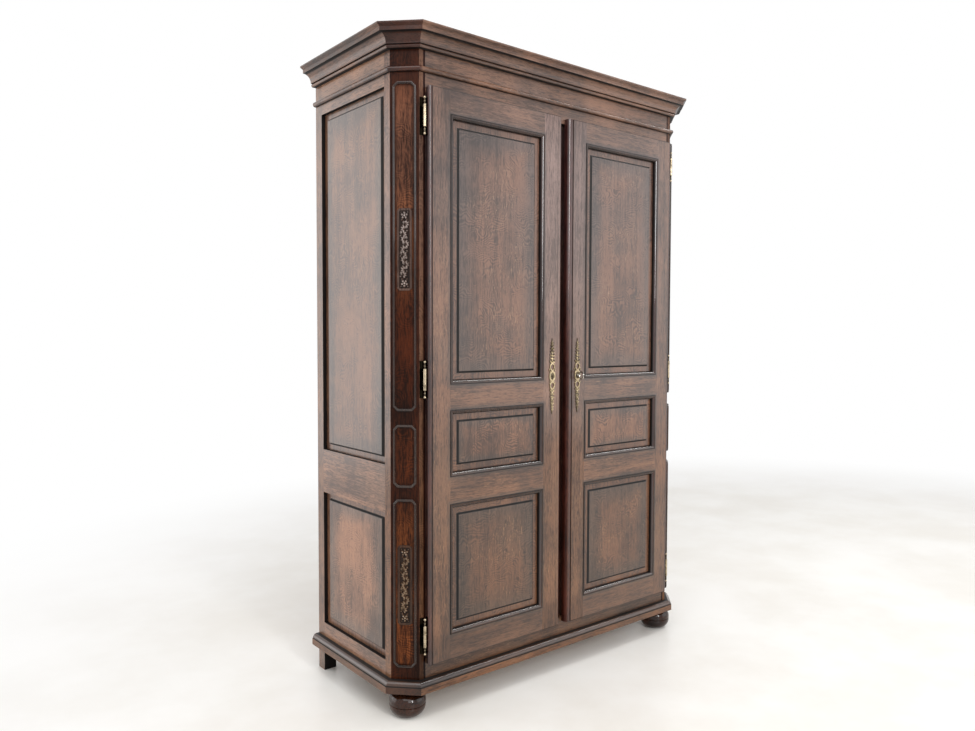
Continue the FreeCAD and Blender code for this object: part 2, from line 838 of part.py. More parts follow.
def escutcheon():
    """Long brass plate: an oval boss at the keyhole, and a stem with lobes above and below."""
    back_y, face_y = door_face, door_face - escutcheon_thickness
    half = escutcheon_width / 2
    boss = escutcheon_boss / 2
    stem = escutcheon_stem / 2
    end = escutcheon_height / 2
    middle = box(-half, half, face_y, back_y, -(boss - half), boss - half)
    bodies = [middle, box(-stem, stem, face_y, back_y, stem - end, end - stem)]
    bodies += [rod(half, 0, face_y, back_y, sign * (boss - half)) for sign in (-1, 1)]
    pitch = (end - boss - stem) / escutcheon_lobe_count
    for number in range(1, escutcheon_lobe_count + 1):
        radius = half - (half - stem) * number / escutcheon_lobe_count
        bodies += [rod(radius, 0, face_y, back_y, sign * (boss + pitch * number)) for sign in (-1, 1)]
    plate = joined(bodies).translated(vector(keyhole_offset, 0, lock_height))
    return plate.cut(keyhole(face_y, back_y))


def lock_case():
    """Rim lock on the back of the lock stile: a hollow case, open for the bolt and the key."""
    x0, x1 = lock_inner, lock_inner + lock_width
    y0, y1 = door_back, door_back + lock_thickness
    half = lock_length / 2
    case = box(x0, x1, y0, y1, lock_height - half, lock_height + half)
    hollow = box(x0 + lock_wall, x1 - lock_wall, y0 + lock_wall, y1 - lock_wall,
                 lock_height - half + lock_wall, lock_height + half - lock_wall)
    bolt_way = box(x0, x0 + lock_wall, bolt_y0 - bolt_clear, bolt_y1 + bolt_clear,
                   lock_height - bolt_height / 2 - bolt_clear,
                   lock_height + bolt_height / 2 + bolt_clear)
    pivot = rod(key_shaft_radius + key_hole_clear, keyhole_offset, y1 - lock_wall, y1, lock_height)
    return case.cut([hollow, bolt_way, keyhole(y0, y0 + lock_wall), pivot])


def lock_bolt():
    """Bolt drawn back: a thick head, and a thin tail slotted round the key's shaft."""
    x0 = lock_inner
    head = box(x0, x0 + bolt_head_length, bolt_y0, bolt_y1,
               lock_height - bolt_height / 2, lock_height + bolt_height / 2)
    tail = box(x0 + bolt_head_length, x0 + bolt_head_length + bolt_tail_length,
               bolt_y1 - bolt_tail_thickness, bolt_y1,
               lock_height - bolt_height / 2, lock_height + bolt_height / 2)
    room = key_shaft_radius + key_hole_clear
    slot = box(keyhole_offset - room, keyhole_offset + room + bolt_throw,
               bolt_y1 - bolt_tail_thickness, bolt_y1, lock_height - room, lock_height + room)
    return joined([head, tail.cut(slot)])


def key():
    """Ring bow, collar, round shaft and a bit that turns in front of the bolt's tail."""
    tip = door_face - key_reach
    ring_centre = tip + key_bow_radius
    shaft = rod(key_shaft_radius, keyhole_offset, ring_centre + key_bow_radius - key_bow_bar,
                door_back + lock_thickness, lock_height)
    collar_y = door_face - escutcheon_thickness - key_collar_length - key_hole_clear
    collar = rod(key_collar_radius, keyhole_offset, collar_y, collar_y + key_collar_length, lock_height)
    axis = vector(1, 0, 0)
    corner = vector(keyhole_offset - key_bow_width / 2, ring_centre, lock_height)
    ring = Part.makeCylinder(key_bow_radius, key_bow_width, corner, axis)
    ring = ring.cut(Part.makeCylinder(key_bow_radius - 2 * key_bow_bar, key_bow_width, corner, axis))
    bit_y = door_back + lock_wall + key_hole_clear
    bit = box(keyhole_offset - key_bit_thickness / 2, keyhole_offset + key_bit_thickness / 2,
              bit_y, bit_y + key_bit_length, lock_height - key_shaft_radius - key_bit_height, lock_height)
    return joined([shaft, collar, ring, bit])


# Case
add_pair("corner_post", corner_post())
add_pair("rear_stile", rear_stile())
add_pair("side_rails", [side_rail(span) for span in side_rails.values()])
for level, opening in side_openings.items():
    add_pair("side_" + level + "_panel", side_panel(opening))
for level, span in front_rails.items():
    add("front_" + level + "_rail", front_rail(span))
add("centre_stile", centre_stile())
add("door_stops", both_sides([door_stop()]))
add("back_rails", [back_rail(span) for span in back_rail_spans])
add("back_boards", back_boards())
add("bottom_board", shelf(front + front_rail_thickness, floor_board_top, bottom_board_thickness))
add("top_board", top_board())
shelf_front = front + centre_stile_thickness + shelf_front_gap
add("shelves", [shelf(shelf_front, top, shelf_thickness) for top in shelf_tops()])
bearers = [cleat(top - shelf_thickness, cleat_height) for top in shelf_tops()]
bearers.append(cleat(floor_board_bottom, bottom_cleat_height))
add("shelf_cleats", both_sides(bearers))

# Mouldings and feet
runs = {
    "crown": moulding_run(crown_profile(), (crown_bottom, total_height), crown_projection),
    "base": moulding_run(base_profile(), (foot_height, base_top), base_projection),
}
for name, run in runs.items():
    add(name + "_front", run["front"])
    add_pair(name + "_side", run["side"])
    add(name + "_corners", both_sides([run["corner"]]))
neck = moulding_run(neck_profile(), (bead_bottom, bead_top), bead_projection)
add("neck_bead", [neck["front"]] + both_sides([neck["corner"], neck["side"]]))
add_pair("bun_foot", bun_foot())

# Ornament and hinge halves on the posts
frames = post_frame_spans()
add_pair("post_frames", [post_frame(*span) for span in frames])
add_pair("post_carvings", [plaque(sum(span) / 2 - plaque_drop) for span in (frames[0], frames[2])])
add_pair("case_hinges", [case_hinge(z) for z in hinge_heights])

# Doors
add_pair("door_hinge_stile", hinge_stile())
add_pair("door_lock_stile", lock_stile())
add_pair("door_rails", [door_rail(span) for span in door_rails()])
for level, span in door_openings().items():
    panel = raised_panel(panel_left, panel_right, span[0], span[1], door_face,
                         door_border_drop, door_field_drop, door_border, door_border)
    add_pair("door_" + level + "_panel", panel)
add_pair("door_mouldings", [strip for span in door_openings().values() for strip in panel_moulding(span)])
add_pair("door_hinges", [door_hinge(z) for z in hinge_heights])
add_pair("escutcheon", escutcheon())
add_pair("lock_case", lock_case())
add_pair("lock_bolt", lock_bolt())
add("key", key())

os.makedirs("parts", exist_ok=True)
for name, shape in nodes.items():
    shape.exportStep("parts/" + name + ".step")
    print(name, len(shape.Solids), "solids", round(shape.Volume / 1000, 1), "cm3", shape.isValid())
print(len(nodes), "nodes")
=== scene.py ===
# %% [markdown]
# A tall two-door oak cupboard with canted corners, dressed for its portrait. The solid pieces come from the
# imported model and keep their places. This lesson gives each of them its finish, models the brass plates, the
# carving and the key in more detail, and sets up the floor, the light and the camera.

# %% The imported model
import json
import math

import bpy
from mathutils import Matrix, Vector


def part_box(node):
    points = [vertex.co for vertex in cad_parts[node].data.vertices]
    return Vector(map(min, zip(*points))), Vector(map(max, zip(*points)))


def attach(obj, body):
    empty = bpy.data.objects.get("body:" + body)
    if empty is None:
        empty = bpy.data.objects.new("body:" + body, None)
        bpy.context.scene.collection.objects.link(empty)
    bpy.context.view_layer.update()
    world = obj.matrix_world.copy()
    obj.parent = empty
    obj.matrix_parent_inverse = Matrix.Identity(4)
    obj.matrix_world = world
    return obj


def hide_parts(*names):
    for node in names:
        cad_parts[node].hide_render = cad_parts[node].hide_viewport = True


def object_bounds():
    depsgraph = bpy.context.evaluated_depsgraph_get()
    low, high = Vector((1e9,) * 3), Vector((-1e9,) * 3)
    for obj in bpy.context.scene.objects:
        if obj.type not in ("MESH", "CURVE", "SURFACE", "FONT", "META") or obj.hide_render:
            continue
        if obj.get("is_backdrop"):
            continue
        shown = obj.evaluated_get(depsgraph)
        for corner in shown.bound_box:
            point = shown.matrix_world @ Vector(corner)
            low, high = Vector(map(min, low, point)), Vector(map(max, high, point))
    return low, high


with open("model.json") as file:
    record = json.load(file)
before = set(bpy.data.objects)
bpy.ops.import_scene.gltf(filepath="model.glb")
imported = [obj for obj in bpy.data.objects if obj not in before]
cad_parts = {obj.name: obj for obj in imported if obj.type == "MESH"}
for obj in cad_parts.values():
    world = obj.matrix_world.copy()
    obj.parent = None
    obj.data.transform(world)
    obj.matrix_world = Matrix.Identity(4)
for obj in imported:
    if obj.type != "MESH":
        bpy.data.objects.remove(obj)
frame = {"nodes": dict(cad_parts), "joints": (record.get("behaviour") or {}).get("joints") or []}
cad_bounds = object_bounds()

scene = bpy.context.scene
nodes = frame["nodes"]
print("pieces in the packed model:", len(nodes))


# %% [markdown]
# A finish is a small network of shader nodes. Wiring nodes by hand is slow to read, so one class wraps an
# output socket and lets Python's own signs add the Math nodes. Every other node comes from its node method.

# %% Shader maths as Python
class Wire:
    """An output socket that takes part in sums, so that 1 - mask adds a Math node."""

    def __init__(self, socket):
        self.socket = socket

    def node(self, kind, settings, sockets, out=0):
        """Add a node to the same material: its settings first, then the values or wires of its sockets."""
        tree = self.socket.id_data
        made = tree.nodes.new("ShaderNode" + kind)
        for name, value in settings.items():
            setattr(made, name, value)
        connect(made, sockets)
        return Wire(made.outputs[out])

    def math(self, operation, first, second=0.0):
        return self.node("Math", {"operation": operation}, {0: first, 1: second})

    def __add__(self, other):
        return self.math("ADD", self, other)

    def __radd__(self, other):
        return self.math("ADD", other, self)

    def __sub__(self, other):
        return self.math("SUBTRACT", self, other)

    def __rsub__(self, other):
        return self.math("SUBTRACT", other, self)

    def __mul__(self, other):
        return self.math("MULTIPLY", self, other)

    def __rmul__(self, other):
        return self.math("MULTIPLY", other, self)

    def __abs__(self):
        return self.math("ABSOLUTE", self)

    def least(self, other):
        return self.math("MINIMUM", self, other)

    def most(self, other):
        return self.math("MAXIMUM", self, other)

    def rise(self, low, high):
        """0 below low and 1 above high, with a smooth step between."""
        return self.node("MapRange", {"interpolation_type": "SMOOTHSTEP"},
                         {"Value": self, "From Min": low, "From Max": high})

    def axis(self, number):
        """One coordinate of a vector."""
        return self.node("SeparateXYZ", {}, {0: self}, number)

    def noise(self, scale, detail=2.0, roughness=0.5, distortion=0.0):
        return self.node("TexNoise", {}, {"Vector": self, "Scale": scale, "Detail": detail,
                                          "Roughness": roughness, "Distortion": distortion})

    def tint(self, start, end):
        """A colour that goes from start to end as this value goes from 0 to 1."""
        return self.node("Mix", {"data_type": "RGBA"}, {0: self, 6: start, 7: end}, 2)


def connect(node, sockets):
    """Give a node's inputs their values or wires."""
    for name, value in sockets.items():
        if isinstance(value, Wire):
            node.id_data.links.new(value.socket, node.inputs[name])
        else:
            node.inputs[name].default_value = value


def start_finish(name, **shader_values):
    """A new material, its shader with its even values set, and a wire with the place on the piece."""
    material = bpy.data.materials.new(name)
    material.use_nodes = True
    shader = material.node_tree.nodes["Principled BSDF"]
    connect(shader, {key.replace("_", " ").title().replace("Ior", "IOR"): value
                     for key, value in shader_values.items()})
    place = Wire(shader.outputs[0]).node("TexCoord", {}, {}, "Object")
    return material, shader, place


def linear(part):
    """The linear value of a screen value from 0 to 1."""
    return part / 12.92 if part < 0.04045 else ((part + 0.055) / 1.055) ** 2.4


def colour(red, green, blue):
    """A colour given as screen values from 0 to 255."""
    return tuple(linear(channel / 255) for channel in (red, green, blue)) + (1.0,)


# %% [markdown]
# The wood is oak, stained dark and polished. A board's grain runs along its length, so the same noise is
# squeezed along one direction: upright for stiles and panels, level for rails. Slow bands give the growth
# rings, fine streaks and dots the pores, and broken wavy lines the silvery flecks that quarter-sawn oak
# shows.

# %% Grain
grain_axes = {"X": 0, "Y": 1, "Z": 2}
boards_cut = 0


def along_grain(place, run, squeeze):
    """The place on the piece, squeezed along the grain and moved to a stretch of wood of its own."""
    scale = [1.0, 1.0, 1.0]
    scale[grain_axes[run]] = squeeze
    shift = (boards_cut * 3.7, boards_cut * 1.9, boards_cut * 5.3)
    return place.node("Mapping", {}, {"Vector": place, "Location": shift, "Scale": scale})


def facing(place, number):
    """How far the surface faces along one axis of the piece, from -1 to 1."""
    return place.node("TexCoord", {}, {}, "Normal").axis(number)


def scaled(shade, factor):
    """The same colour, lighter or darker."""
    return tuple(min(1.0, part * factor) for part in shade[:3]) + (1.0,)


# %% [markdown]
# The stain sits darker where the old polish gathered along the margins of the panels. Painted shade lies
# black in the reveals, over a dark finish there, and on the steps round a panel's field. A cover is a mask
# with a colour of its own. The mask finds a step by the direction its surface faces, and a margin by its
# distance from the edge.

# %% Stained oak
# Painted shade, laid black in steps, quirks and undersides, and over a dark finish in the reveals.
shade_and_glaze_black = [colour(7, 4, 3), colour(16, 10, 8)]
patina = [colour(36, 29, 25), colour(74, 63, 56)]
ray_fleck = colour(164, 130, 98)
# A painted reflection: the wood is tinted warm near the floor and grey higher up, as polish mirrors the room.
warm_below, grey_above = (1.1, 0.98, 0.8, 1.0), (1.02, 1.06, 1.25, 1.0)
warm_height, grey_height = 0.3, 1.7
pore_depth = 0.0005


def oak(name, run, deep, pale, roughness=0.34, coat=0.35, flecks=0.3, specular=0.5, covers=(), shade_and_glaze=None,
        relief=0.2, haze=0.2, ripple=0.0, aged=0.35, bleached=1.0):
    """Stained oak with its grain along run.

    coat is how much polish lies on it, as a number or a mask, and haze is how much that blurs. flecks is how
    bright the silvery flecks are, and ripple how strong the waves across the grain. covers are other colours
    where their masks say, and shade_and_glaze is a mask of black: painted shade, over a dark finish in the
    reveals. relief is how deep the grain feels, aged is how much grey patina lies on it, and bleached
    is how far it goes from warm near the floor to grey higher up, as a painted reflection of the room.
    """
    global boards_cut
    boards_cut += 1
    material, shader, place = start_finish(name, coat_roughness=haze, specular_ior_level=specular)
    long_grain, short_grain = along_grain(place, run, 0.045), along_grain(place, run, 0.12)
    bands = long_grain.noise(22.0, 3.0, 0.6, 0.5)
    streaks = long_grain.noise(190.0, 4.0, 0.7, 0.2)
    fibres = short_grain.noise(320.0, 3.0, 0.7, 0.3)
    cloud = place.noise(6.0, 3.0, 0.55)
    figure = bands * 0.45 + streaks * 0.4 + fibres * 0.8 + cloud * 0.5 - 0.575
    if ripple:
        turns = place.axis(grain_axes[run]) * 105 + place.noise(14.0, 2.0, 0.4) * 15
        waves = turns.math("SINE", turns * math.tau)
        figure = figure + waves * place.noise(15.0, 2.0, 0.5).rise(0.42, 0.62) * ripple
    tone = figure.rise(0.3, 0.7)
    grey = place.noise(3.6, 3.0, 0.6).rise(0.48, 0.64) * aged
    wood = grey.tint(tone.tint(deep, pale), tone.tint(*patina))
    strokes = along_grain(place, run, 0.14).noise(380.0, 2.0, 0.55, 1.4).rise(0.57, 0.68)
    patches = place.noise(11.0, 2.0, 0.5).rise(0.42, 0.62)
    wood = (strokes * patches * flecks).tint(wood, ray_fleck)
    for mask, dark, light in covers:
        wood = mask(place).tint(wood, tone.tint(dark, light))
    # Painted reflection of the room in the polish, warm low down and grey higher up.
    painted_reflection = place.axis(2).rise(warm_height, grey_height).tint(warm_below, grey_above)
    wood = place.node("Mix", {"data_type": "RGBA", "blend_type": "MULTIPLY"},
                      {0: bleached, 6: wood, 7: painted_reflection}, 2)
    pore = fibres.rise(0.56, 0.68) * 0.55
    wood = pore.tint(wood, scaled(deep, 0.35))
    polish = coat(place) if callable(coat) else coat
    rough = roughness + (streaks - 0.5) * 0.12 + (cloud - 0.5) * 0.1
    if shade_and_glaze is not None:
        black = shade_and_glaze(place)
        wood = black.tint(wood, tone.tint(*shade_and_glaze_black))
        polish = (1 - black) * polish
        rough = rough + black * 0.3
    surface = streaks - pore * 0.8
    bump = place.node("Bump", {}, {"Strength": relief, "Distance": pore_depth, "Height": surface}, "Normal")
    connect(shader, {"Base Color": wood, "Normal": bump, "Coat Weight": polish, "Roughness": rough})
    return material


def dress(names, finish):
    """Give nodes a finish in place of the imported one."""
    for name in names:
        nodes[name].data.materials.clear()
        nodes[name].data.materials.append(finish)


sides = ("left_", "right_")


def pair(name):
    return [side + name for side in sides]


# %% [markdown]
# Each door has three panel openings. Painted shade lies black in the corner round each of them, so the
# masks of the door's pieces need the distance to the nearest opening's edge, counted inwards.

# %% Door openings
mm = 0.001
tongue = 8 * mm
levels = ("lower", "middle", "upper")


def within_rectangle(place, low, high, first, second):
    """The distance inwards from the edge of a rectangle."""
    u, v = place.axis(first), place.axis(second)
    return (u - low[first]).least(high[first] - u).least((v - low[second]).least(high[second] - v))


def within_openings(place, side):
    """The distance inwards from the edge of the nearest panel opening of a door."""
    depth = None
    for level in levels:
        low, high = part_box(side + "door_" + level + "_panel")
        edge = Vector((tongue, 0, tongue))
        inward = within_rectangle(place, low + edge, high - edge, 0, 2)
        depth = inward if depth is None else depth.most(inward)
    return depth


# %% [markdown]
# The frames come from dark boards. Only the direction of the grain and the stretch of wood change, so each
# node gets an oak of its own. The reveals of the side frames are black, painted shade over a dark finish, and
# the upright edges of the doors are painted dark red as shade. The lock stiles grow paler from the locks up,
# the left one more than the right.

# %% Edges and reveals
frame_deep, frame_pale = colour(52, 34, 25), colour(116, 83, 62)
edge_shade_deep, edge_shade_pale = colour(28, 12, 10), colour(72, 36, 29)
outer_strip, meeting_strip = 12 * mm, 21 * mm
door_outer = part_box("right_door_hinge_stile")[1].x
door_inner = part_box("right_door_lock_stile")[0].x
print("a door reaches from", round(door_inner, 4), "to", round(door_outer, 4))


# The reveals take black: painted shade over a dark finish.
def side_reveal(place):
    """The narrow faces round a side panel, which don't look out to the side."""
    return 1 - abs(facing(place, 0)).rise(0.3, 0.6)


def stile_reveal(place):
    """The narrow face of a rear stile, which looks to the front."""
    return (0 - facing(place, 1)).rise(0.4, 0.8)


def door_edge(place):
    """The upright edges and round noses of a door's stile, and the face strip by the hinges: painted shade."""
    across = place.axis(0)
    strip = (abs(across) - door_outer + outer_strip).rise(0.0, 2 * mm)
    right_nose = across.rise(0.0, 1 * mm) * (door_inner + meeting_strip - across).rise(0.0, 2 * mm)
    return abs(facing(place, 0)).rise(0.25, 0.6).most(strip * 0.8).most(right_nose * 0.8)


def edge_polish(place):
    """The round edges where the doors meet are glossy above the locks, and rubbed dull by hands below."""
    nose = abs(facing(place, 0)).rise(0.2, 0.5) * (1 - abs(place.axis(0)).rise(50 * mm, 60 * mm))
    return (1 - nose) * 0.75 + nose * place.axis(2).rise(1.0, 1.35)


def paler_upwards(place):
    """The lock stiles grow paler from the locks up."""
    return place.axis(2).rise(0.55, 1.4) * 0.85 + 0.15


def door_quirks(place):
    """The fine steps where a door's face ends and its edge strips begin."""
    across = abs(place.axis(0))
    steps = [abs(across - line) for line in (door_inner + meeting_strip, door_outer - outer_strip)]
    return (1 - steps[0].least(steps[1]).rise(0.6 * mm, 1.8 * mm)) * 0.8


def bottom_rail(place):
    """The stretch of height that the doors' lowest rail takes up, painted darker as shade low on the doors."""
    return 1 - place.axis(2).rise(0.23, 0.26)


# %% Frames and rails
pale_stile_deep, pale_stile_stain = colour(76, 59, 50), colour(130, 104, 90)
pale_stile_share = {"left_": 1.0, "right_": 0.72}
for side in sides:
    door_low, door_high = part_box(side + "door_hinge_stile")
    for name in ("door_lock_stile", "door_rails"):
        low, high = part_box(side + name)
        door_low = Vector([min(ends) for ends in zip(door_low, low)])
        door_high = Vector([max(ends) for ends in zip(door_high, high)])

    def beside_opening(place, side=side):
        return within_openings(place, side).rise(-16 * mm, 2 * mm) * 0.75

    def door_lines(place, side=side, low=door_low, high=door_high):
        """Painted black shade along the door's rim, round its openings and in its quirks, but not on its back.
        """
        rim = 1 - within_rectangle(place, low, high, 0, 2).rise(0.5 * mm, 3 * mm)
        lines = within_openings(place, side).rise(-2 * mm, 0.0).most(rim * (1 - door_edge(place)))
        lines = lines.most(door_quirks(place))
        return lines * (1 - facing(place, 1).rise(0.5, 0.9)) * 0.85

    for name, run in (("door_hinge_stile", "Z"), ("door_lock_stile", "Z"), ("door_rails", "X")):
        # door_edge paints the door's edges dark red as shade.
        covers = [(bottom_rail, scaled(frame_deep, 0.7), scaled(frame_pale, 0.7)), (beside_opening, *patina),
                  (door_edge, edge_shade_deep, edge_shade_pale)]
        shine = {}
        if name == "door_lock_stile":
            shine = {"coat": edge_polish, "haze": 0.14, "specular": 0.15}
            light = pale_stile_share[side]
            covers.insert(0, (paler_upwards, scaled(pale_stile_deep, light), scaled(pale_stile_stain, light)))
        finish = oak(side + name + "_oak", run, frame_deep, frame_pale, covers=covers, shade_and_glaze=door_lines,
                     **shine)
        dress([side + name], finish)
    # The side frames are painted lighter than the door frames, standing in for the light on the side.
    for name, run, reveal, light in (("rear_stile", "Z", stile_reveal, 1.6),
                                     ("side_rails", "Y", side_reveal, 2.2)):
        finish = oak(side + name + "_oak", run, scaled(frame_deep, light), scaled(frame_pale, light),
                     coat=0.7, specular=0.2, shade_and_glaze=reveal, bleached=0.0)
        dress([side + name], finish)
print("oaks for the frames:", boards_cut)

# %% [markdown]
# The crown, the base and the bead are run mouldings. Painted shade lies black below each of their edges,
# where the surface looks straight down, and the stain goes darker at the canted corners. The crown is dull up
# in its cove. The round of the base is rubbed glossy, with a black line of painted shade in the quirk below it
# and another where its ledge meets the case.

# %% Crown and bead
run_deep, run_pale = colour(54, 34, 22), colour(120, 84, 60)
corner_deep, corner_pale = colour(26, 10, 5), colour(68, 33, 18)


def underside_shade(place):
    """The surfaces of a moulding that look straight down, painted black as shade."""
    return (0 - facing(place, 2)).rise(0.88, 0.97)


def on_corner(place):
    """The stretch of a piece that goes round a canted corner."""
    return abs(place.axis(0)).rise(552 * mm, 566 * mm) * (0 - place.axis(1)).rise(160 * mm, 174 * mm)


# The crown's sides are painted lighter than its front, standing in for the light on the side.
for name, run, light, aged in (("crown_front", "X", 1.0, 0.35), ("front_top_rail", "X", 1.0, 0.35),
                               ("left_crown_side", "Y", 1.27, 0.8), ("right_crown_side", "Y", 1.27, 0.8)):
    finish = oak(name + "_oak", run, scaled(run_deep, light), scaled(run_pale, light), roughness=0.36,
                 coat=0.2, flecks=0.2, specular=0.45, shade_and_glaze=underside_shade, aged=aged)
    dress([name], finish)
bead_oak = oak("neck_bead_oak", "X", run_deep, run_pale, roughness=0.22, coat=0.15, flecks=0.1, specular=0.35,
               covers=[(on_corner, corner_deep, corner_pale)], shade_and_glaze=underside_shade)
dress(["neck_bead"], bead_oak)
crown_corner_oak = oak("crown_corner_oak", "X", corner_deep, corner_pale, roughness=0.3, coat=0.0, flecks=0.1,
                       specular=0.3, shade_and_glaze=underside_shade)
dress(["crown_corners"], crown_corner_oak)
print("oaks with the crown:", boards_cut)

# %% Base
base_low, base_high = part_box("base_front")
fascia_height = 21 * mm
fascia_top = base_low.z + fascia_height
round_deep, round_pale = colour(24, 13, 9), colour(64, 42, 31)


def base_round(place):
    """All of the base that lies above its fascia."""
    return place.axis(2).rise(fascia_top, fascia_top + 2 * mm)


def base_lines(place):
    """Black painted shade in the quirk below the round, at the back of the ledge, and on what looks straight
    down.
    """
    quirk = 1 - abs(place.axis(2) - fascia_top).rise(0.8 * mm, 2 * mm)
    ledge = place.axis(2).rise(base_high.z - 0.8 * mm, base_high.z - 0.3 * mm)
    return quirk.most(ledge).most(underside_shade(place))


def base_polish(place):
    return base_round(place) * 0.5 + 0.05


for name, run, deep, pale in (("base_front", "X", run_deep, run_pale),
                              ("left_base_side", "Y", run_deep, run_pale),
                              ("right_base_side", "Y", run_deep, run_pale),
                              ("base_corners", "X", corner_deep, corner_pale)):
    finish = oak(name + "_oak", run, deep, pale, roughness=0.3, coat=base_polish, flecks=0.1, specular=0.4,
                 covers=[(base_round, round_deep, round_pale)], shade_and_glaze=base_lines, haze=0.1)
    dress([name], finish)
bottom_rail_oak = oak("front_bottom_rail_oak", "X", scaled(run_deep, 0.6), scaled(run_pale, 0.6),
                      roughness=0.4, coat=0.1)
dress(["front_bottom_rail"], bottom_rail_oak)
print("oaks with the base:", boards_cut)

# %% [markdown]
# The panels show the best of the figure: rippled flecks in the middle, and a greyer patina towards the
# edges. The field of a panel stands up from its border over a steep step, which is painted black as shade.

# %% Panels
panel_deep, panel_pale = colour(51, 33, 24), colour(110, 77, 57)
door_inset = Vector((45 * mm, 0.0, 45 * mm))
side_inset = Vector((0.0, 37 * mm, 32 * mm))


def dress_panel(name, inset, first, outward, inner, fade, light, rim, **wood):
    """A raised panel: inset is how far its field lies within its box, and outward the axis it faces along.

    first is the level axis of its face, inner the direction of its back along the outward axis, and fade how
    far the patina reaches in from the field's edge. light and rim are how much lighter its wood and its
    border are painted, which on the side panels stands in for the light on the side. wood is what else its
    oak takes.
    """
    low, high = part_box(name)

    def within_field(place):
        return within_rectangle(place, low + inset, high - inset, first, 2)

    def margin(place):
        depth = within_field(place)
        wander = (place.noise(7.0, 3.0, 0.6) - 0.5) * (70 * mm)
        return (1 - (depth + wander).rise(0.0, fade)) * depth.rise(-2 * mm, 0.0) * 0.7

    def border(place):
        return (1 - within_field(place).rise(-8 * mm, -4 * mm)) * 0.7

    # The step round the field, and the faces that don't look out, are painted black as shade.
    def step(place):
        depth = within_field(place)
        line = depth.rise(-6.5 * mm, -4.5 * mm) * (1 - depth.rise(0.0, 1.5 * mm))
        inside = (facing(place, outward) * inner).rise(0.5, 0.9)
        return line.most(1 - abs(facing(place, outward)).rise(0.7, 0.95)) * (1 - inside)

    covers = [(margin, *(scaled(shade, light) for shade in patina)),
              (border, scaled(panel_deep, rim), scaled(panel_pale, rim))]
    finish = oak(name + "_oak", "Z", scaled(panel_deep, light), scaled(panel_pale, light), covers=covers,
                 shade_and_glaze=step, **wood)
    dress([name], finish)


door_panel_looks = {"lower": (75 * mm, 0.85), "middle": (30 * mm, 1.25), "upper": (75 * mm, 1.0)}
side_fade, side_rim = 60 * mm, 1.6
for side in sides:
    for level in levels:
        fade, light = door_panel_looks[level]
        dress_panel(side + "door_" + level + "_panel", door_inset, 0, 1, 1, fade, light, 1.0,
                    flecks=0.45, ripple=0.1)
    inner = 1 if side == "left_" else -1
    # The side panels and their borders are painted lighter, standing in for the light on the side.
    for level, light, aged in (("lower", 2.4, 0.55), ("upper", 1.6, 0.35)):
        dress_panel(side + "side_" + level + "_panel", side_inset, 1, 0, inner, side_fade, light, side_rim,
                    flecks=0.4, ripple=0.07, aged=aged, bleached=0.0)
print("oaks with the panels:", boards_cut)

# %% [markdown]
# No joiner leaves an edge that cuts the hand. A bevel modifier takes off a millimetre along the arrises of
# the panels and of the frames on the posts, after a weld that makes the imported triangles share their
# corners. Both stay live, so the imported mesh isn't changed.

# %% Softened edges
arris, weld_reach = 1.2 * mm, 0.01 * mm
for side in sides:
    softened = [side + "door_" + level + "_panel" for level in levels]
    softened += [side + "side_lower_panel", side + "side_upper_panel", side + "post_frames"]
    for name in softened:
        weld = nodes[name].modifiers.new("shared_corners", "WELD")
        weld.merge_threshold = weld_reach
        soften = nodes[name].modifiers.new("soft_arris", "BEVEL")
        soften.width, soften.segments = arris, 2
        soften.limit_method, soften.angle_limit = "ANGLE", math.radians(20)
    print("softened:", ", ".join(softened))

# %% [markdown]
# The mitred mouldings round the door panels are glossier than the boards and catch the light. Their outer
# and inner edges hold a black line of painted shade, and the faces turned to the left are painted dark as
# shade.

# %% Panel mouldings
moulding_width = 13 * mm


def turned_left(place):
    return (0 - facing(place, 0)).rise(0.2, 0.5)


def moulding_polish(place):
    """More polish where a moulding looks up or to the left, as dusting rubs it there."""
    return facing(place, 2).rise(0.1, 0.5).most(turned_left(place)) * 0.8 + 0.2


for side in sides:
    def moulding_lines(place, side=side):
        """Painted black shade along the outer and the inner edge of a moulding."""
        depth = within_openings(place, side)
        inner_line = depth.rise(moulding_width - 2.6 * mm, moulding_width - 1 * mm)
        return 1 - depth.rise(0.8 * mm, 2.4 * mm) * (1 - inner_line)

    # The faces turned to the left are painted dark red as shade.
    covers = [(turned_left, scaled(edge_shade_deep, 0.6), scaled(edge_shade_pale, 0.6))]
    finish = oak(side + "moulding_oak", "Z", colour(24, 14, 10), colour(60, 39, 28), roughness=0.14,
                 coat=moulding_polish, flecks=0.0, specular=0.3, covers=covers, shade_and_glaze=moulding_lines,
                 relief=0.02, haze=0.05)
    dress([side + "door_mouldings"], finish)
print("oaks with the panel mouldings:", boards_cut)

# %% [markdown]
# The canted corners carry a deeper, redder stain than the rest. They're one timber with the narrow returns
# beside them, so the colour changes where the surface turns: the cant faces half to the side and half to the
# front. The front return is painted darkest of all as shade in the channel where the hinges sit, and the
# tops of the frames' boards are painted darker as shade.

# %% Corner posts
post_deep, post_pale = colour(34, 15, 7), colour(112, 64, 35)
# The post's side return is painted lighter, standing in for the light on the side.
side_light = 1.6
corner_cut = 60 * mm
post_low, post_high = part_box("right_corner_post")
cant_x, cant_y = post_high.x - corner_cut / 2, post_low.y + corner_cut / 2
post_frame_spans = ((154 * mm, 651 * mm), (685 * mm, 868 * mm), (908 * mm, 1849 * mm))
post_frame_half = 34.5 * mm
channel_start = 549 * mm
print("middle of the right cant:", round(cant_x, 4), round(cant_y, 4))


def cant(place):
    """A mask of the canted face."""
    return (abs(facing(place, 0)) * abs(facing(place, 1))).rise(0.25, 0.4)


def across_cant(place):
    """How far a place lies from the upright middle line of a canted face."""
    return abs(abs(place.axis(0)) - cant_x + place.axis(1) - cant_y) * math.sqrt(0.5)


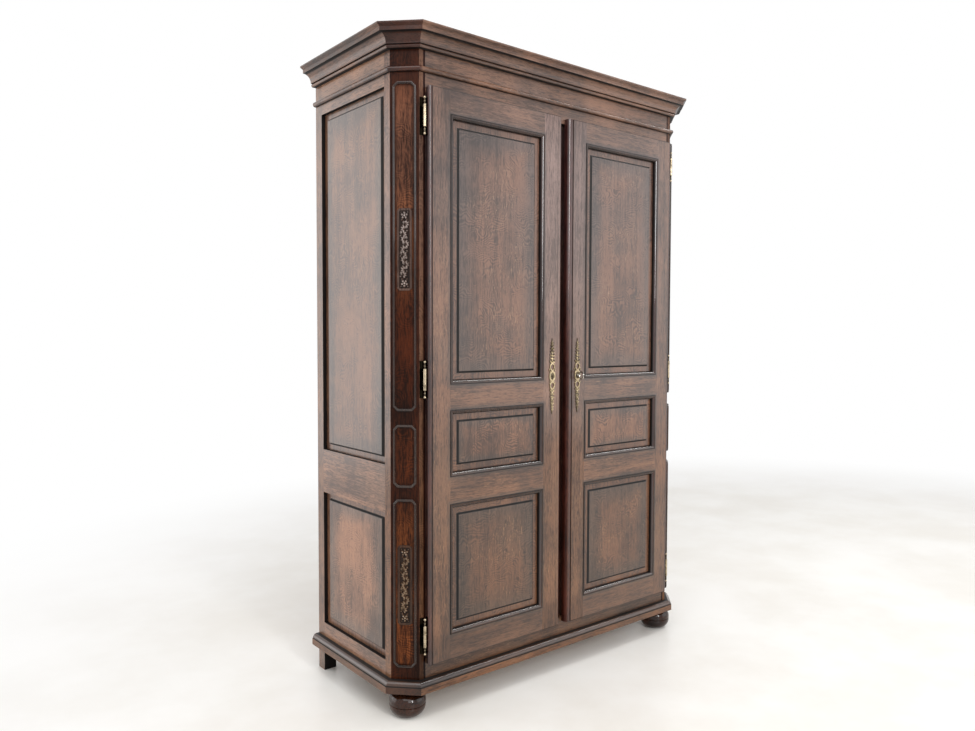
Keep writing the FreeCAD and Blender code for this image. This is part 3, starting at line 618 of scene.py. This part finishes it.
def off_frames(place):
    """The part of the cant outside its three frames, and the dark line that borders them within."""
    across, depth = across_cant(place), None
    for low, high in post_frame_spans:
        inward = (post_frame_half - across).least((place.axis(2) - low).least(high - place.axis(2)))
        depth = inward if depth is None else depth.most(inward)
    return cant(place) * (1 - depth.rise(3 * mm, 16 * mm))


def between(place, low, high, start, end):
    """1 inside a stretch of height, with soft ends."""
    return (place.axis(2) - low).rise(0.0, start) * (high - place.axis(2)).rise(0.0, end)


def dark_boards(place):
    """The small middle frame's board, the other two's tops in painted shade, and the upper one below its
    plaque.
    """
    lower, middle, upper = post_frame_spans
    dark = between(place, *middle, 10 * mm, 10 * mm) * 0.8
    for low, high in (lower, upper):
        dark = dark.most(between(place, high - 120 * mm, high, 120 * mm, 1 * mm) * 0.5)
    return cant(place) * dark.most(between(place, upper[0], 1.4, 10 * mm, 250 * mm))


def light_board(place):
    """The lower frame's board, which is paler towards its foot."""
    return cant(place) * (1 - place.axis(2).rise(0.25, 0.66))


def upper_board(place):
    """The upper frame's board above its plaque, which is a little greyer."""
    return cant(place) * place.axis(2).rise(1.4, 1.6)


def front_return(place):
    return (0 - facing(place, 1)).rise(0.8, 0.95)


def hinge_channel(place):
    """The part of the front return next to the door."""
    return front_return(place) * (channel_start - abs(place.axis(0))).rise(0.0, 1 * mm)


def return_polish(place):
    return (1 - cant(place)) * (1 - front_return(place)) * 0.6


for side in sides:
    covers = [(front_return, scaled(frame_deep, 0.8), scaled(frame_pale, 0.8)),
              # The channel by the hinges is painted nearly black as shade.
              (hinge_channel, scaled(edge_shade_deep, 0.3), scaled(edge_shade_pale, 0.3)),
              (cant, post_deep, post_pale),
              (upper_board, colour(44, 26, 18), colour(120, 76, 52)),
              (light_board, scaled(post_deep, 1.4), scaled(post_pale, 1.5)),
              (dark_boards, scaled(post_deep, 0.6), colour(76, 34, 15)),
              (off_frames, scaled(corner_deep, 0.8), scaled(corner_pale, 0.8))]
    post_oak = oak(side + "post_oak", "Z", scaled(frame_deep, side_light), scaled(frame_pale, side_light),
                   roughness=0.3, coat=return_polish, flecks=0.12, specular=0.1, covers=covers, ripple=0.06)
    dress([side + "corner_post"], post_oak)
    post_frame_oak = oak(side + "post_frame_oak", "Z", colour(22, 12, 8), colour(58, 38, 29), roughness=0.14,
                         coat=0.5, flecks=0.0, specular=0.3, relief=0.02, haze=0.04)
    dress([side + "post_frames"], post_frame_oak)
    foot_oak = oak(side + "foot_oak", "X", colour(14, 6, 4), colour(56, 30, 19), roughness=0.12, coat=0.1,
                   flecks=0.0, specular=0.3, relief=0.02, haze=0.05, aged=0.0)
    dress([side + "bun_foot"], foot_oak)
print("oaks with the posts and feet:", boards_cut)

# %% [markdown]
# Inside, the oak was never stained, so it is paler and duller. The fixed stile behind the gap between the
# doors and the stops beside the posts show in the gaps when the doors are shut, so they are painted dark as
# shade.

# %% Inside
inside_deep, inside_pale = colour(120, 90, 62), colour(176, 140, 100)
for run, names in {"Z": ["back_boards"], "Y": ["shelf_cleats"],
                   "X": ["back_rails", "bottom_board", "top_board", "shelves"]}.items():
    inside_oak = oak("inside_oak_" + run, run, inside_deep, inside_pale, roughness=0.55, coat=0.0, aged=0.06)
    dress(names, inside_oak)
gap_oak = oak("hidden_stile_oak", "Z", scaled(edge_shade_deep, 0.6), scaled(edge_shade_pale, 0.7), roughness=0.5,
              coat=0.0)
dress(["centre_stile", "door_stops"], gap_oak)
print("oaks in all but the carving's:", boards_cut)

# %% [markdown]
# The hinges and the plates are old brass: bright where hands rub, and near black in the hollows and on the
# hinge leaves, from tarnish and painted shade. The locks and the key are plain iron. Both are metals, so the
# colour is that of their reflections.

# %% Brass and iron
def metal(name, deep, pale, roughness, cover=None, speckle=90.0):
    """Worn metal. cover takes the place and gives a mask of what is near black: tarnish and painted shade."""
    material, shader, place = start_finish(name, metallic=1.0)
    wear = place.noise(speckle, 3.0, 0.55)
    tarnish = place.noise(24.0, 2.0, 0.5)
    shade = (wear * 0.5 + tarnish * 0.5).rise(0.3, 0.56).tint(deep, pale)
    if cover is not None:
        shade = cover(place).tint(shade, scaled(deep, 0.12))
    connect(shader, {"Base Color": shade, "Roughness": roughness + (wear - 0.5) * 0.15})
    return material


hinge_axis = next(joint["pos_m"] for joint in frame["joints"] if joint["name"] == "right_door_swing")
barrel_radius, neck_radius, radius_fade = 4.8 * mm, 2.4 * mm, 0.4 * mm
hinge_heights = (246.5 * mm, 999.5 * mm, 1752.5 * mm)
barrel_half, ball_start = 31 * mm, 48 * mm


def from_hinge(place):
    """The height above or below the middle of the nearest hinge."""
    away = [abs(place.axis(2) - height) for height in hinge_heights]
    return away[0].least(away[1]).least(away[2])


def hinge_dark(place):
    """A hinge's leaves, blackened and in painted shade, and its finials as far as the ball at the end of each.
    """
    aside, behind = abs(abs(place.axis(0)) - hinge_axis[0]), place.axis(1) - hinge_axis[1]
    leaves = aside.most(behind).rise(barrel_radius, barrel_radius + radius_fade)
    height = from_hinge(place)
    finial = height.rise(barrel_half - 0.5 * mm, barrel_half + 0.5 * mm)
    neck = 1 - (aside * aside + behind * behind).rise(neck_radius ** 2, (neck_radius + radius_fade) ** 2)
    ball = height.rise(ball_start - 1 * mm, ball_start)
    return leaves.most(finial * (0.55 + neck * 0.3 - ball * 0.45))


brass_deep, brass_pale = colour(86, 75, 58), colour(190, 174, 148)
hinge_brass = metal("hinge_brass", brass_deep, brass_pale, 0.28, hinge_dark)
iron = metal("lock_iron", colour(80, 76, 72), colour(196, 191, 184), 0.22)
dress(pair("case_hinges") + pair("door_hinges"), hinge_brass)
dress(pair("lock_case") + pair("lock_bolt"), iron)
print("hinges turn about x", round(hinge_axis[0], 4), "y", round(hinge_axis[1], 4))

# %% [markdown]
# The finer pieces are modelled by hand: each starts as a primitive, is shaped in edit mode and then copied.
# These helpers select an object or some of its parts, make a copy with a mesh of its own, and join parts
# into one.

# %% Working by hand
def pick(thing):
    """Select one object alone, in object mode, and make it the active one."""
    if bpy.context.mode != "OBJECT":
        bpy.ops.object.mode_set(mode="OBJECT")
    bpy.ops.object.select_all(action="DESELECT")
    thing.select_set(True)
    bpy.context.view_layer.objects.active = thing


def settle(thing):
    """Write the object's place, turn and size into its mesh."""
    pick(thing)
    bpy.ops.object.transform_apply(location=True, rotation=True, scale=True)
    return thing


def choose(thing, test, kind="VERT"):
    """Enter edit mode with those vertices, edges or faces selected that pass the test."""
    pick(thing)
    bpy.ops.object.mode_set(mode="EDIT")
    bpy.ops.mesh.select_mode(type=kind)
    bpy.ops.mesh.select_all(action="DESELECT")
    bpy.ops.object.mode_set(mode="OBJECT")
    for part in {"VERT": thing.data.vertices, "EDGE": thing.data.edges, "FACE": thing.data.polygons}[kind]:
        part.select = test(part)
    bpy.ops.object.mode_set(mode="EDIT")


def copy_of(model, place, size=(1, 1, 1), lean=0.0, turn=0.0):
    """A copy at a place, stretched to a size, leant in its own plane and turned about the upright axis."""
    pick(model)
    bpy.ops.object.duplicate()
    made = bpy.context.object
    made.location, made.scale = place, size
    made.rotation_euler = (0.0, math.radians(lean), math.radians(turn))
    return settle(made)


def join(parts, name):
    """One object of several, with its doubles merged and its faces outward."""
    pick(parts[0])
    for part in parts:
        part.select_set(True)
    bpy.ops.object.join()
    made = bpy.context.object
    made.name = made.data.name = name
    bpy.ops.object.mode_set(mode="EDIT")
    bpy.ops.mesh.select_mode(type="VERT")
    bpy.ops.mesh.select_all(action="SELECT")
    bpy.ops.mesh.remove_doubles(threshold=0.000001)
    bpy.ops.mesh.normals_make_consistent(inside=False)
    bpy.ops.object.mode_set(mode="OBJECT")
    bpy.ops.object.shade_smooth_by_angle(angle=math.radians(40))
    return made


def clear_away(models):
    for model in models:
        pick(model)
        bpy.ops.object.delete()


# %% [markdown]
# Carving and casting use the same few forms: a bead with a flat back, a leaf with a pointed tip and a groove
# for its vein, an open loop and a scroll. Each is modelled once, about one unit or at its size, with its
# back on the ground and its front towards -Y.

# %% Bead and leaf
bpy.ops.mesh.primitive_uv_sphere_add(segments=12, ring_count=8, radius=1.0)
bead = bpy.context.object
bpy.ops.object.mode_set(mode="EDIT")
bpy.ops.mesh.select_all(action="SELECT")
bpy.ops.mesh.bisect(plane_co=(0, 0, 0), plane_no=(0, 1, 0), use_fill=True, clear_outer=True)
bpy.ops.object.mode_set(mode="OBJECT")

leaf = copy_of(bead, (0, 0, 0))
choose(leaf, lambda point: point.co.z > 0.6)
bpy.ops.transform.resize(value=(0.6, 0.8, 1.0), center_override=(0, 0, 0))
bpy.ops.transform.translate(value=(0, 0, 0.4))
choose(leaf, lambda point: point.co.z > 1.2)
bpy.ops.transform.resize(value=(0.5, 0.8, 1.0), center_override=(0, 0, 0))
choose(leaf, lambda point: abs(point.co.x) < 0.05 and point.co.y < -0.3 and point.co.z < 1.2)
bpy.ops.transform.translate(value=(0, 0.35, 0))
bpy.ops.object.mode_set(mode="OBJECT")
print("faces of a bead and a leaf:", len(bead.data.polygons), len(leaf.data.polygons))

# %% Loop and scroll
bar = 0.25
bpy.ops.mesh.primitive_torus_add(major_segments=24, minor_segments=8, major_radius=1.0, minor_radius=bar,
                                 location=(0, -bar, 0), rotation=(math.pi / 2, 0, 0))
loop = settle(bpy.context.object)

bpy.ops.mesh.primitive_circle_add(vertices=8, radius=bar, fill_type="NGON", location=(1, -bar, 0))
scroll = settle(bpy.context.object)
bpy.ops.object.mode_set(mode="EDIT")
bpy.ops.mesh.select_all(action="SELECT")
bpy.ops.mesh.spin(steps=14, angle=math.radians(250), center=(0, 0, 0), axis=(0, 1, 0))
bpy.ops.mesh.select_all(action="SELECT")
bpy.ops.mesh.fill_holes(sides=0)
bpy.ops.object.mode_set(mode="OBJECT")
print("faces of a loop and a scroll:", len(loop.data.polygons), len(scroll.data.polygons))

# %% [markdown]
# The brass plates are cast in open work: an oval boss with the keyhole, a loop above and below it, and a
# stem of beads and leaves that thins to a point. The keyhole is cut through by two boolean modifiers, one
# for the round hole and one for the slot that lets the key's bit pass.

# %% Keyhole boss
bpy.ops.mesh.primitive_cylinder_add(vertices=32, radius=1.0, depth=1.0, rotation=(math.pi / 2, 0, 0))
boss = settle(bpy.context.object)
boss.location, boss.scale = (0, -0.8 * mm, 0), (12.8 * mm, 1.6 * mm, 17.5 * mm)
settle(boss)
choose(boss, lambda point: point.co.y < -1.5 * mm)
bpy.ops.transform.resize(value=(0.92, 1.0, 0.94), center_override=(0, 0, 0))
bpy.ops.object.mode_set(mode="OBJECT")

bpy.ops.mesh.primitive_cylinder_add(vertices=24, radius=3.5 * mm, depth=8 * mm, rotation=(math.pi / 2, 0, 0))
round_hole = settle(bpy.context.object)
bpy.ops.mesh.primitive_cube_add(size=1.0, location=(0, 0, -6.25 * mm), scale=(3.4 * mm, 8 * mm, 10.5 * mm))
slot_hole = settle(bpy.context.object)
for cutter in (round_hole, slot_hole):
    pick(boss)
    cut = boss.modifiers.new("keyhole", "BOOLEAN")
    cut.operation, cut.object, cut.solver = "DIFFERENCE", cutter, "EXACT"
    bpy.ops.object.modifier_apply(modifier=cut.name)
clear_away([round_hole, slot_hole])
print("faces of the boss:", len(boss.data.polygons))

# %% Escutcheons
door_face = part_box("left_door_lock_stile")[0].y
plate_deep, plate_pale = colour(42, 34, 24), colour(188, 170, 138)
plate_speckle = 260.0
plate_parts = [boss, copy_of(loop, (0, -0.4 * mm, 0), (11.0 * mm, 8.0 * mm, 15.0 * mm))]
# Sizes in mm: x, z, width and height of a pair of leaves, then z, width and height of a bead on the stem.
leaf_pairs = ((7.0, 47, 3.4, 5.6), (6.6, 58, 2.6, 3.8), (6.2, 68, 2.9, 4.4), (5.6, 79, 2.5, 3.6),
              (5.0, 89, 2.6, 4.0), (4.2, 99, 2.2, 3.4), (3.4, 108, 1.9, 3.0))
stem_beads = ((55, 4.2, 9), (66, 4.4, 3.4), (75, 3.4, 7), (85, 3.6, 3.2), (93, 2.8, 6), (102, 3.0, 2.8),
              (108, 2.2, 4), (113, 2.6, 2.4))


def hollows(place):
    """The low ground of a cast plate, next to the door's face: tarnish with painted shade over it."""
    return 1 - (door_face - place.axis(1)).rise(0.8 * mm, 3.2 * mm)


def cast(model, up, x, z, width, height, relief, lean=0.0):
    """Copy a form onto the upper half of a plate, or upside down onto its lower half."""
    over = 0 if up > 0 else 180
    plate_parts.append(copy_of(model, (x * mm, 0, up * z * mm), (width * mm, relief * mm, height * mm),
                               over + lean))


for up in (1, -1):
    cast(loop, up, 0, 30.0, 9.0, 11.0, 8.0)
    cast(bead, up, 0, 18.5, 4.6, 3.4, 4.4)
    cast(bead, up, 0, 44.0, 5.0, 3.6, 4.4)
    for hand in (1, -1):
        cast(scroll, up, hand * 10.0, 20.5, 4.0, 4.2, 7.0, hand * 70)
        for x, z, width, height in leaf_pairs:
            cast(leaf, up, hand * x, z, width, height, 4.4, hand * 48)
    for z, width, height in stem_beads:
        cast(bead, up, 0, z, width, height, 3.4)
    cast(leaf, up, 0, 118.0, 2.0, 5.0, 2.6)
plate = join(plate_parts, "escutcheon_model")
for side, pale_share in (("left", 1.0), ("right", 0.75)):
    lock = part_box(side + "_escutcheon")
    centre = (lock[0] + lock[1]) / 2
    piece = copy_of(plate, (centre.x, door_face, centre.z))
    piece.name = piece.data.name = side + "_cast_escutcheon"
    brass = metal(side + "_plate_brass", plate_deep, scaled(plate_pale, pale_share), 0.26, hollows, plate_speckle)
    piece.data.materials.append(brass)
    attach(piece, side + "_door")
    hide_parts(side + "_escutcheon")
    print(piece.name, "faces:", len(piece.data.polygons))
clear_away([plate])

# %% [markdown]
# Each canted corner bears two carved plaques: a narrow board with clipped corners and a raised rim. On its
# sunk ground a wavy stem climbs between leaves and small scrolls, with a flower at either end. One plaque is
# carved lying against the plane y = 0, then copied to the corners and turned 45 degrees.

# %% Plaque board
plaque_width, plaque_height, corner_clip = 43 * mm, 235 * mm, 7 * mm
rim_width, ground, board_front = 6.0 * mm, 1.0 * mm, 2.6 * mm
plaque_heights = (397.5 * mm, 1373.5 * mm)
bpy.ops.mesh.primitive_cube_add(size=1.0, location=(0, -board_front / 2, 0),
                                scale=(plaque_width, board_front, plaque_height))
board = settle(bpy.context.object)


def through_board(edge):
    """Whether an edge runs from the front of the board to its back."""
    ends = [board.data.vertices[number].co for number in edge.vertices]
    return abs(ends[0].y - ends[1].y) > board_front / 2


choose(board, through_board, "EDGE")
bpy.ops.mesh.bevel(offset=corner_clip, segments=1)
choose(board, lambda face: face.normal.y < -0.9, "FACE")
bpy.ops.mesh.inset(thickness=rim_width)
bpy.ops.mesh.extrude_region_move(TRANSFORM_OT_translate={"value": (0, board_front - ground, 0)})
bpy.ops.object.mode_set(mode="OBJECT")
print("faces of a plaque's board:", len(board.data.polygons))

# %% Plaque carving
plaque_parts = [board]
# Sizes in mm and angles in degrees: a long leaf's spread and length, and a short leaf's spread.
vine_swing, vine_wave, vine_reach, bead_step = 3.6, 58.0, 80, 5
leaf_step, leaf_nodes, scroll_offset = 14.5, 5, 4.8
long_leaves, short_leaves = ((15, 5.6), (60, 6.6), (105, 5.6), (150, 4.6)), (40, 120)
flower_height, petals = 97, 5


def carve(model, x, z, width, height, relief, lean=0.0, out=0.0):
    """Copy a form onto the sunk ground, moved out from a place in the direction that it leans to."""
    away = Matrix.Rotation(math.radians(lean), 3, "Y") @ Vector((0, 0, out))
    plaque_parts.append(copy_of(model, ((x + away.x) * mm, -ground, (z + away.z) * mm),
                                (width * mm, relief * mm, height * mm), lean))


def vine(z):
    """How far the wavy stem lies from the middle of the plaque at a height."""
    return vine_swing * math.sin(math.tau * z / vine_wave)


for z in range(-vine_reach, vine_reach + 1, bead_step):
    carve(bead, vine(z), z, 1.7, 3.2, 3.6, math.degrees(math.atan2(vine(z + 1) - vine(z - 1), 2)))
for number in range(-leaf_nodes, leaf_nodes + 1):
    z = number * leaf_step
    hand = 1 if number % 2 else -1
    for spread, length in long_leaves:
        carve(leaf, vine(z), z, 2.7, length, 6.0, hand * spread, 6.6)
    for spread in short_leaves:
        carve(leaf, vine(z), z, 2.3, 4.4, 5.2, -hand * spread, 8.6)
    carve(scroll, vine(z) - hand * scroll_offset, z + 4, 3.2, 3.9, 9.0, -hand * 40)
    carve(bead, vine(z) - hand * scroll_offset, z + 4, 2.0, 2.0, 6.0)
for up, over in ((1, 0), (-1, 180)):
    for petal in range(petals):
        carve(leaf, 0, up * flower_height, 3.6, 4.8, 5.6, over + petal * 360 / petals, 7.0)
    carve(bead, 0, up * flower_height, 3.6, 3.6, 6.4)
    for hand in (1, -1):
        carve(leaf, hand * 7, up * 85, 2.6, 5.0, 4.2, over - up * hand * 40)
        carve(bead, hand * 10, up * 106, 2.2, 2.6, 3.8)
plaque = join(plaque_parts, "plaque_model")
print("forms on a plaque:", len(plaque_parts) - 1)

# %% Carved plaques
# Painted highlights on the tops of the carving and on the plaques' rims.
highlight_deep, highlight_pale = colour(84, 68, 57), colour(196, 180, 164)
rim_highlight_deep, rim_highlight_pale = colour(58, 42, 34), colour(104, 82, 69)


def carved_height(place):
    """How far the carving stands out from the canted face."""
    return (abs(place.axis(0)) - cant_x - place.axis(1) + cant_y) * math.sqrt(0.5)


def highlight_tops(place):
    """The tops of the carving, painted paler as a highlight, more so on the upper plaques."""
    return carved_height(place).rise(3.6 * mm, 6.0 * mm) * (place.axis(2).rise(0.5, 1.2) * 0.45 + 0.55)


def carving_polish(place):
    return highlight_tops(place) * 0.8 + 0.2


# The sunk ground of a plaque is painted black as shade.
def shaded_ground(place):
    return (1 - carved_height(place).rise(1.2 * mm, 2.4 * mm)) * 0.75


def rim_highlight(place):
    """The raised rim round an upper plaque, painted paler in patches as a highlight."""
    along = [abs(place.axis(2) - height) for height in plaque_heights]
    depth = (plaque_width / 2 - across_cant(place)).least(plaque_height / 2 - along[0].least(along[1]))
    pale_share = 1 - depth.rise(rim_width, rim_width + 0.3 * mm)
    pale_share = pale_share * carved_height(place).rise(board_front - 0.4 * mm, board_front)
    return pale_share * (place.noise(30.0).rise(0.4, 0.65) * 0.5 + 0.3) * place.axis(2).rise(0.5, 1.2)


for side, sign in (("left", -1), ("right", 1)):
    copies = [copy_of(plaque, (sign * cant_x, cant_y, height), turn=sign * 45) for height in plaque_heights]
    piece = join(copies, side + "_carved_plaques")
    covers = [(highlight_tops, highlight_deep, highlight_pale), (rim_highlight, rim_highlight_deep, rim_highlight_pale)]
    carving_oak = oak(side + "_carving_oak", "Z", colour(24, 14, 10), colour(76, 52, 39), roughness=0.22,
                      coat=carving_polish, flecks=0.0, specular=0.15, covers=covers, shade_and_glaze=shaded_ground,
                      relief=0.03, haze=0.12)
    piece.data.materials.append(carving_oak)
    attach(piece, "case")
    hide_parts(side + "_post_carvings")
    print(piece.name, "faces:", len(piece.data.polygons))
clear_away([plaque])

# %% [markdown]
# The key in the right lock is forged iron: a ring bow, a shaft with two turned collars, and a bit inside the
# lock. It turns about its shaft, so the bow stands upright at rest.

# %% Key
low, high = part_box("key")
plate_low, plate_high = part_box("right_escutcheon")
shaft_x, shaft_z = (low.x + high.x) / 2, (plate_low.z + plate_high.z) / 2
bow_middle, shaft_start, bow_depth = low.y + 11 * mm, low.y + 20 * mm, 9.0 * mm
bow = copy_of(loop, (0, 0, 0), (10.0 * mm, bow_depth, 11.5 * mm))
bow.location = (0, bar * bow_depth, 0)
settle(bow)
bow.rotation_euler = (0, 0, math.pi / 2)
bow.location = (0, bow_middle, 0)
settle(bow)
bpy.ops.mesh.primitive_cylinder_add(vertices=24, radius=3 * mm, depth=high.y - shaft_start,
                                    location=(0, (shaft_start + high.y) / 2, 0),
                                    rotation=(math.pi / 2, 0, 0))
shaft = settle(bpy.context.object)
choose(shaft, lambda point: point.co.y > high.y - 0.1 * mm)
bpy.ops.mesh.bevel(offset=0.8 * mm, segments=2)
bpy.ops.object.mode_set(mode="OBJECT")
key_parts = [bow, shaft]
for y, radius in ((22.5, 2.55), (27.0, 2.85)):
    bpy.ops.mesh.primitive_torus_add(major_segments=24, minor_segments=8, major_radius=radius * mm,
                                     minor_radius=1.1 * mm, location=(0, low.y + y * mm, 0),
                                     rotation=(math.pi / 2, 0, 0))
    key_parts.append(settle(bpy.context.object))
bit_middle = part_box("right_lock_case")[0].y + 3.8 * mm
bpy.ops.mesh.primitive_cube_add(size=1.0, location=(0, bit_middle, -6.5 * mm),
                                scale=(2.2 * mm, 3.6 * mm, 9.0 * mm))
bit = settle(bpy.context.object)
bpy.ops.object.mode_set(mode="EDIT")
bpy.ops.mesh.select_all(action="SELECT")
bpy.ops.mesh.bevel(offset=0.3 * mm, segments=1)
bpy.ops.object.mode_set(mode="OBJECT")
key_parts.append(bit)
piece = join(key_parts, "forged_key")
piece.location = (shaft_x, 0, shaft_z)
settle(piece)
piece.data.materials.append(iron)
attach(piece, "key")
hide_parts("key")
clear_away([bead, leaf, loop, scroll])
print("key reaches from", round(low.y, 4), "to", round(high.y, 4))

# %% [markdown]
# The cupboard stands on a pale stone floor that keeps its shadow. Towards the sides the floor fades to plain
# white for the camera and for mirrored light, so that no horizon shows behind the cupboard or in its polish.

# %% Floor
def seen(wire):
    """1 for what the camera sees, straight or mirrored in polish, and 0 for light shed on the wood."""
    rays = [wire.node("LightPath", {}, {}, kind) for kind in ("Is Camera Ray", "Is Glossy Ray")]
    return rays[0].most(rays[1])


floor_size, fade_start, fade_end = 14.0, 1.9, 4.3
fade_middle = (1.3, -0.6, 0.0)
bpy.ops.mesh.primitive_plane_add(size=floor_size, location=(0.0, 0.0, 0.0))
floor = bpy.context.object
floor.name = "studio_floor"
material, shader, place = start_finish("pale_floor", roughness=0.35)
marble = place.noise(1.6, 5.0, 0.6)
connect(shader, {"Base Color": marble.rise(0.3, 0.7).tint(colour(234, 230, 223), colour(245, 243, 239))})
white = place.node("Emission", {}, {"Color": (1.0, 1.0, 1.0, 1.0), "Strength": 1.0})
reach = place.node("VectorMath", {"operation": "DISTANCE"}, {0: place, 1: fade_middle}, "Value")
mixed = place.node("MixShader", {}, {0: reach.rise(fade_start, fade_end) * seen(place),
                                     1: Wire(shader.outputs[0]), 2: white})
connect(material.node_tree.nodes["Material Output"], {"Surface": mixed})
floor.data.materials.append(material)
floor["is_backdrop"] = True
print("floor fades to white between", fade_start, "and", fade_end, "m")

# %% [markdown]
# All round it is plain white. The camera and the polish see that at full white, while the light it sheds on
# the wood is weaker, so that the lamps can give the forms their shade.

# %% World
surround_light = 0.6
world = bpy.data.worlds.new("white_surround")
scene.world = world
world.use_nodes = True
background = world.node_tree.nodes["Background"]
strength = surround_light + seen(Wire(background.outputs[0])) * (1 - surround_light)
connect(background, {"Color": (1.0, 1.0, 1.0, 1.0), "Strength": strength})
print("share of white light on the wood:", surround_light)

# %% [markdown]
# Soft lamps give the forms their shade: a large one lights the left side, one comes from the right, one
# hangs above and one fills from the front. Two long narrow lamps draw the bright lines that a polished
# moulding shows, one for the upright mouldings and one for the level ones.

# %% Lamps
def softbox(name, place, target, size, power):
    """A rectangular lamp at place that faces target."""
    bpy.ops.object.light_add(type="AREA", location=place)
    lamp = bpy.context.object
    lamp.name = name
    lamp.data.shape = "RECTANGLE"
    lamp.data.size, lamp.data.size_y = size
    lamp.data.energy = power
    lamp.rotation_euler = (Vector(target) - Vector(place)).to_track_quat("-Z", "Y").to_euler()
    return lamp


lamps = [softbox("left_light", (-3.4, 2.6, 1.5), (-0.6, 0.0, 1.1), (3.2, 2.9), 51.0),
         softbox("right_front_light", (3.4, -3.6, 1.6), (0.0, -0.2, 1.1), (3.4, 2.8), 35.0),
         softbox("top_light", (-2.0, -2.2, 4.2), (-0.9, -1.0, 0.0), (4.0, 3.0), 85.0),
         softbox("front_fill", (-1.4, -4.8, 2.9), (0.0, -0.2, 0.9), (3.0, 2.0), 58.0),
         softbox("upright_strip", (-0.7, -4.2, 2.25), (0.0, -0.25, 1.1), (0.45, 1.7), 50.0),
         softbox("level_strip", (2.4, -1.2, 3.3), (2.4, -0.3, 1.0), (2.4, 0.14), 26.0)]
print("lamps:", len(lamps), "with", sum(lamp.data.energy for lamp in lamps), "W in all")

# %% [markdown]
# The camera stands at a person's chest height, in front and to the left. Its place, its turn and its lens
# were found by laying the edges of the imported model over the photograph.

# %% Camera
camera_place = (-1.8335, -2.125, 1.1357)
bpy.ops.object.camera_add(location=camera_place)
camera = bpy.context.object
camera.name = "portrait_camera"
camera.data.sensor_width, camera.data.lens = 36.0, 29.1
turn = Matrix.Rotation(math.radians(-38.84), 3, "Z")
tilt = Matrix.Rotation(math.radians(87.61), 3, "X")
roll = Matrix.Rotation(math.radians(0.16), 3, "Z")
camera.rotation_euler = (turn @ tilt @ roll).to_euler()
scene.camera = camera
scene.view_settings.view_transform = "Standard"
print("camera with a lens of", camera.data.lens, "mm at", camera_place)

# %% [markdown]
# Last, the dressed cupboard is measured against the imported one. The two boxes should agree to a few
# millimetres.

# %% Sizes and finish
boxes = {"cad": cad_bounds, "visual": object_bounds()}
for name, box in boxes.items():
    print(name, "size in m:", [round(high - low, 4) for low, high in zip(*box)])
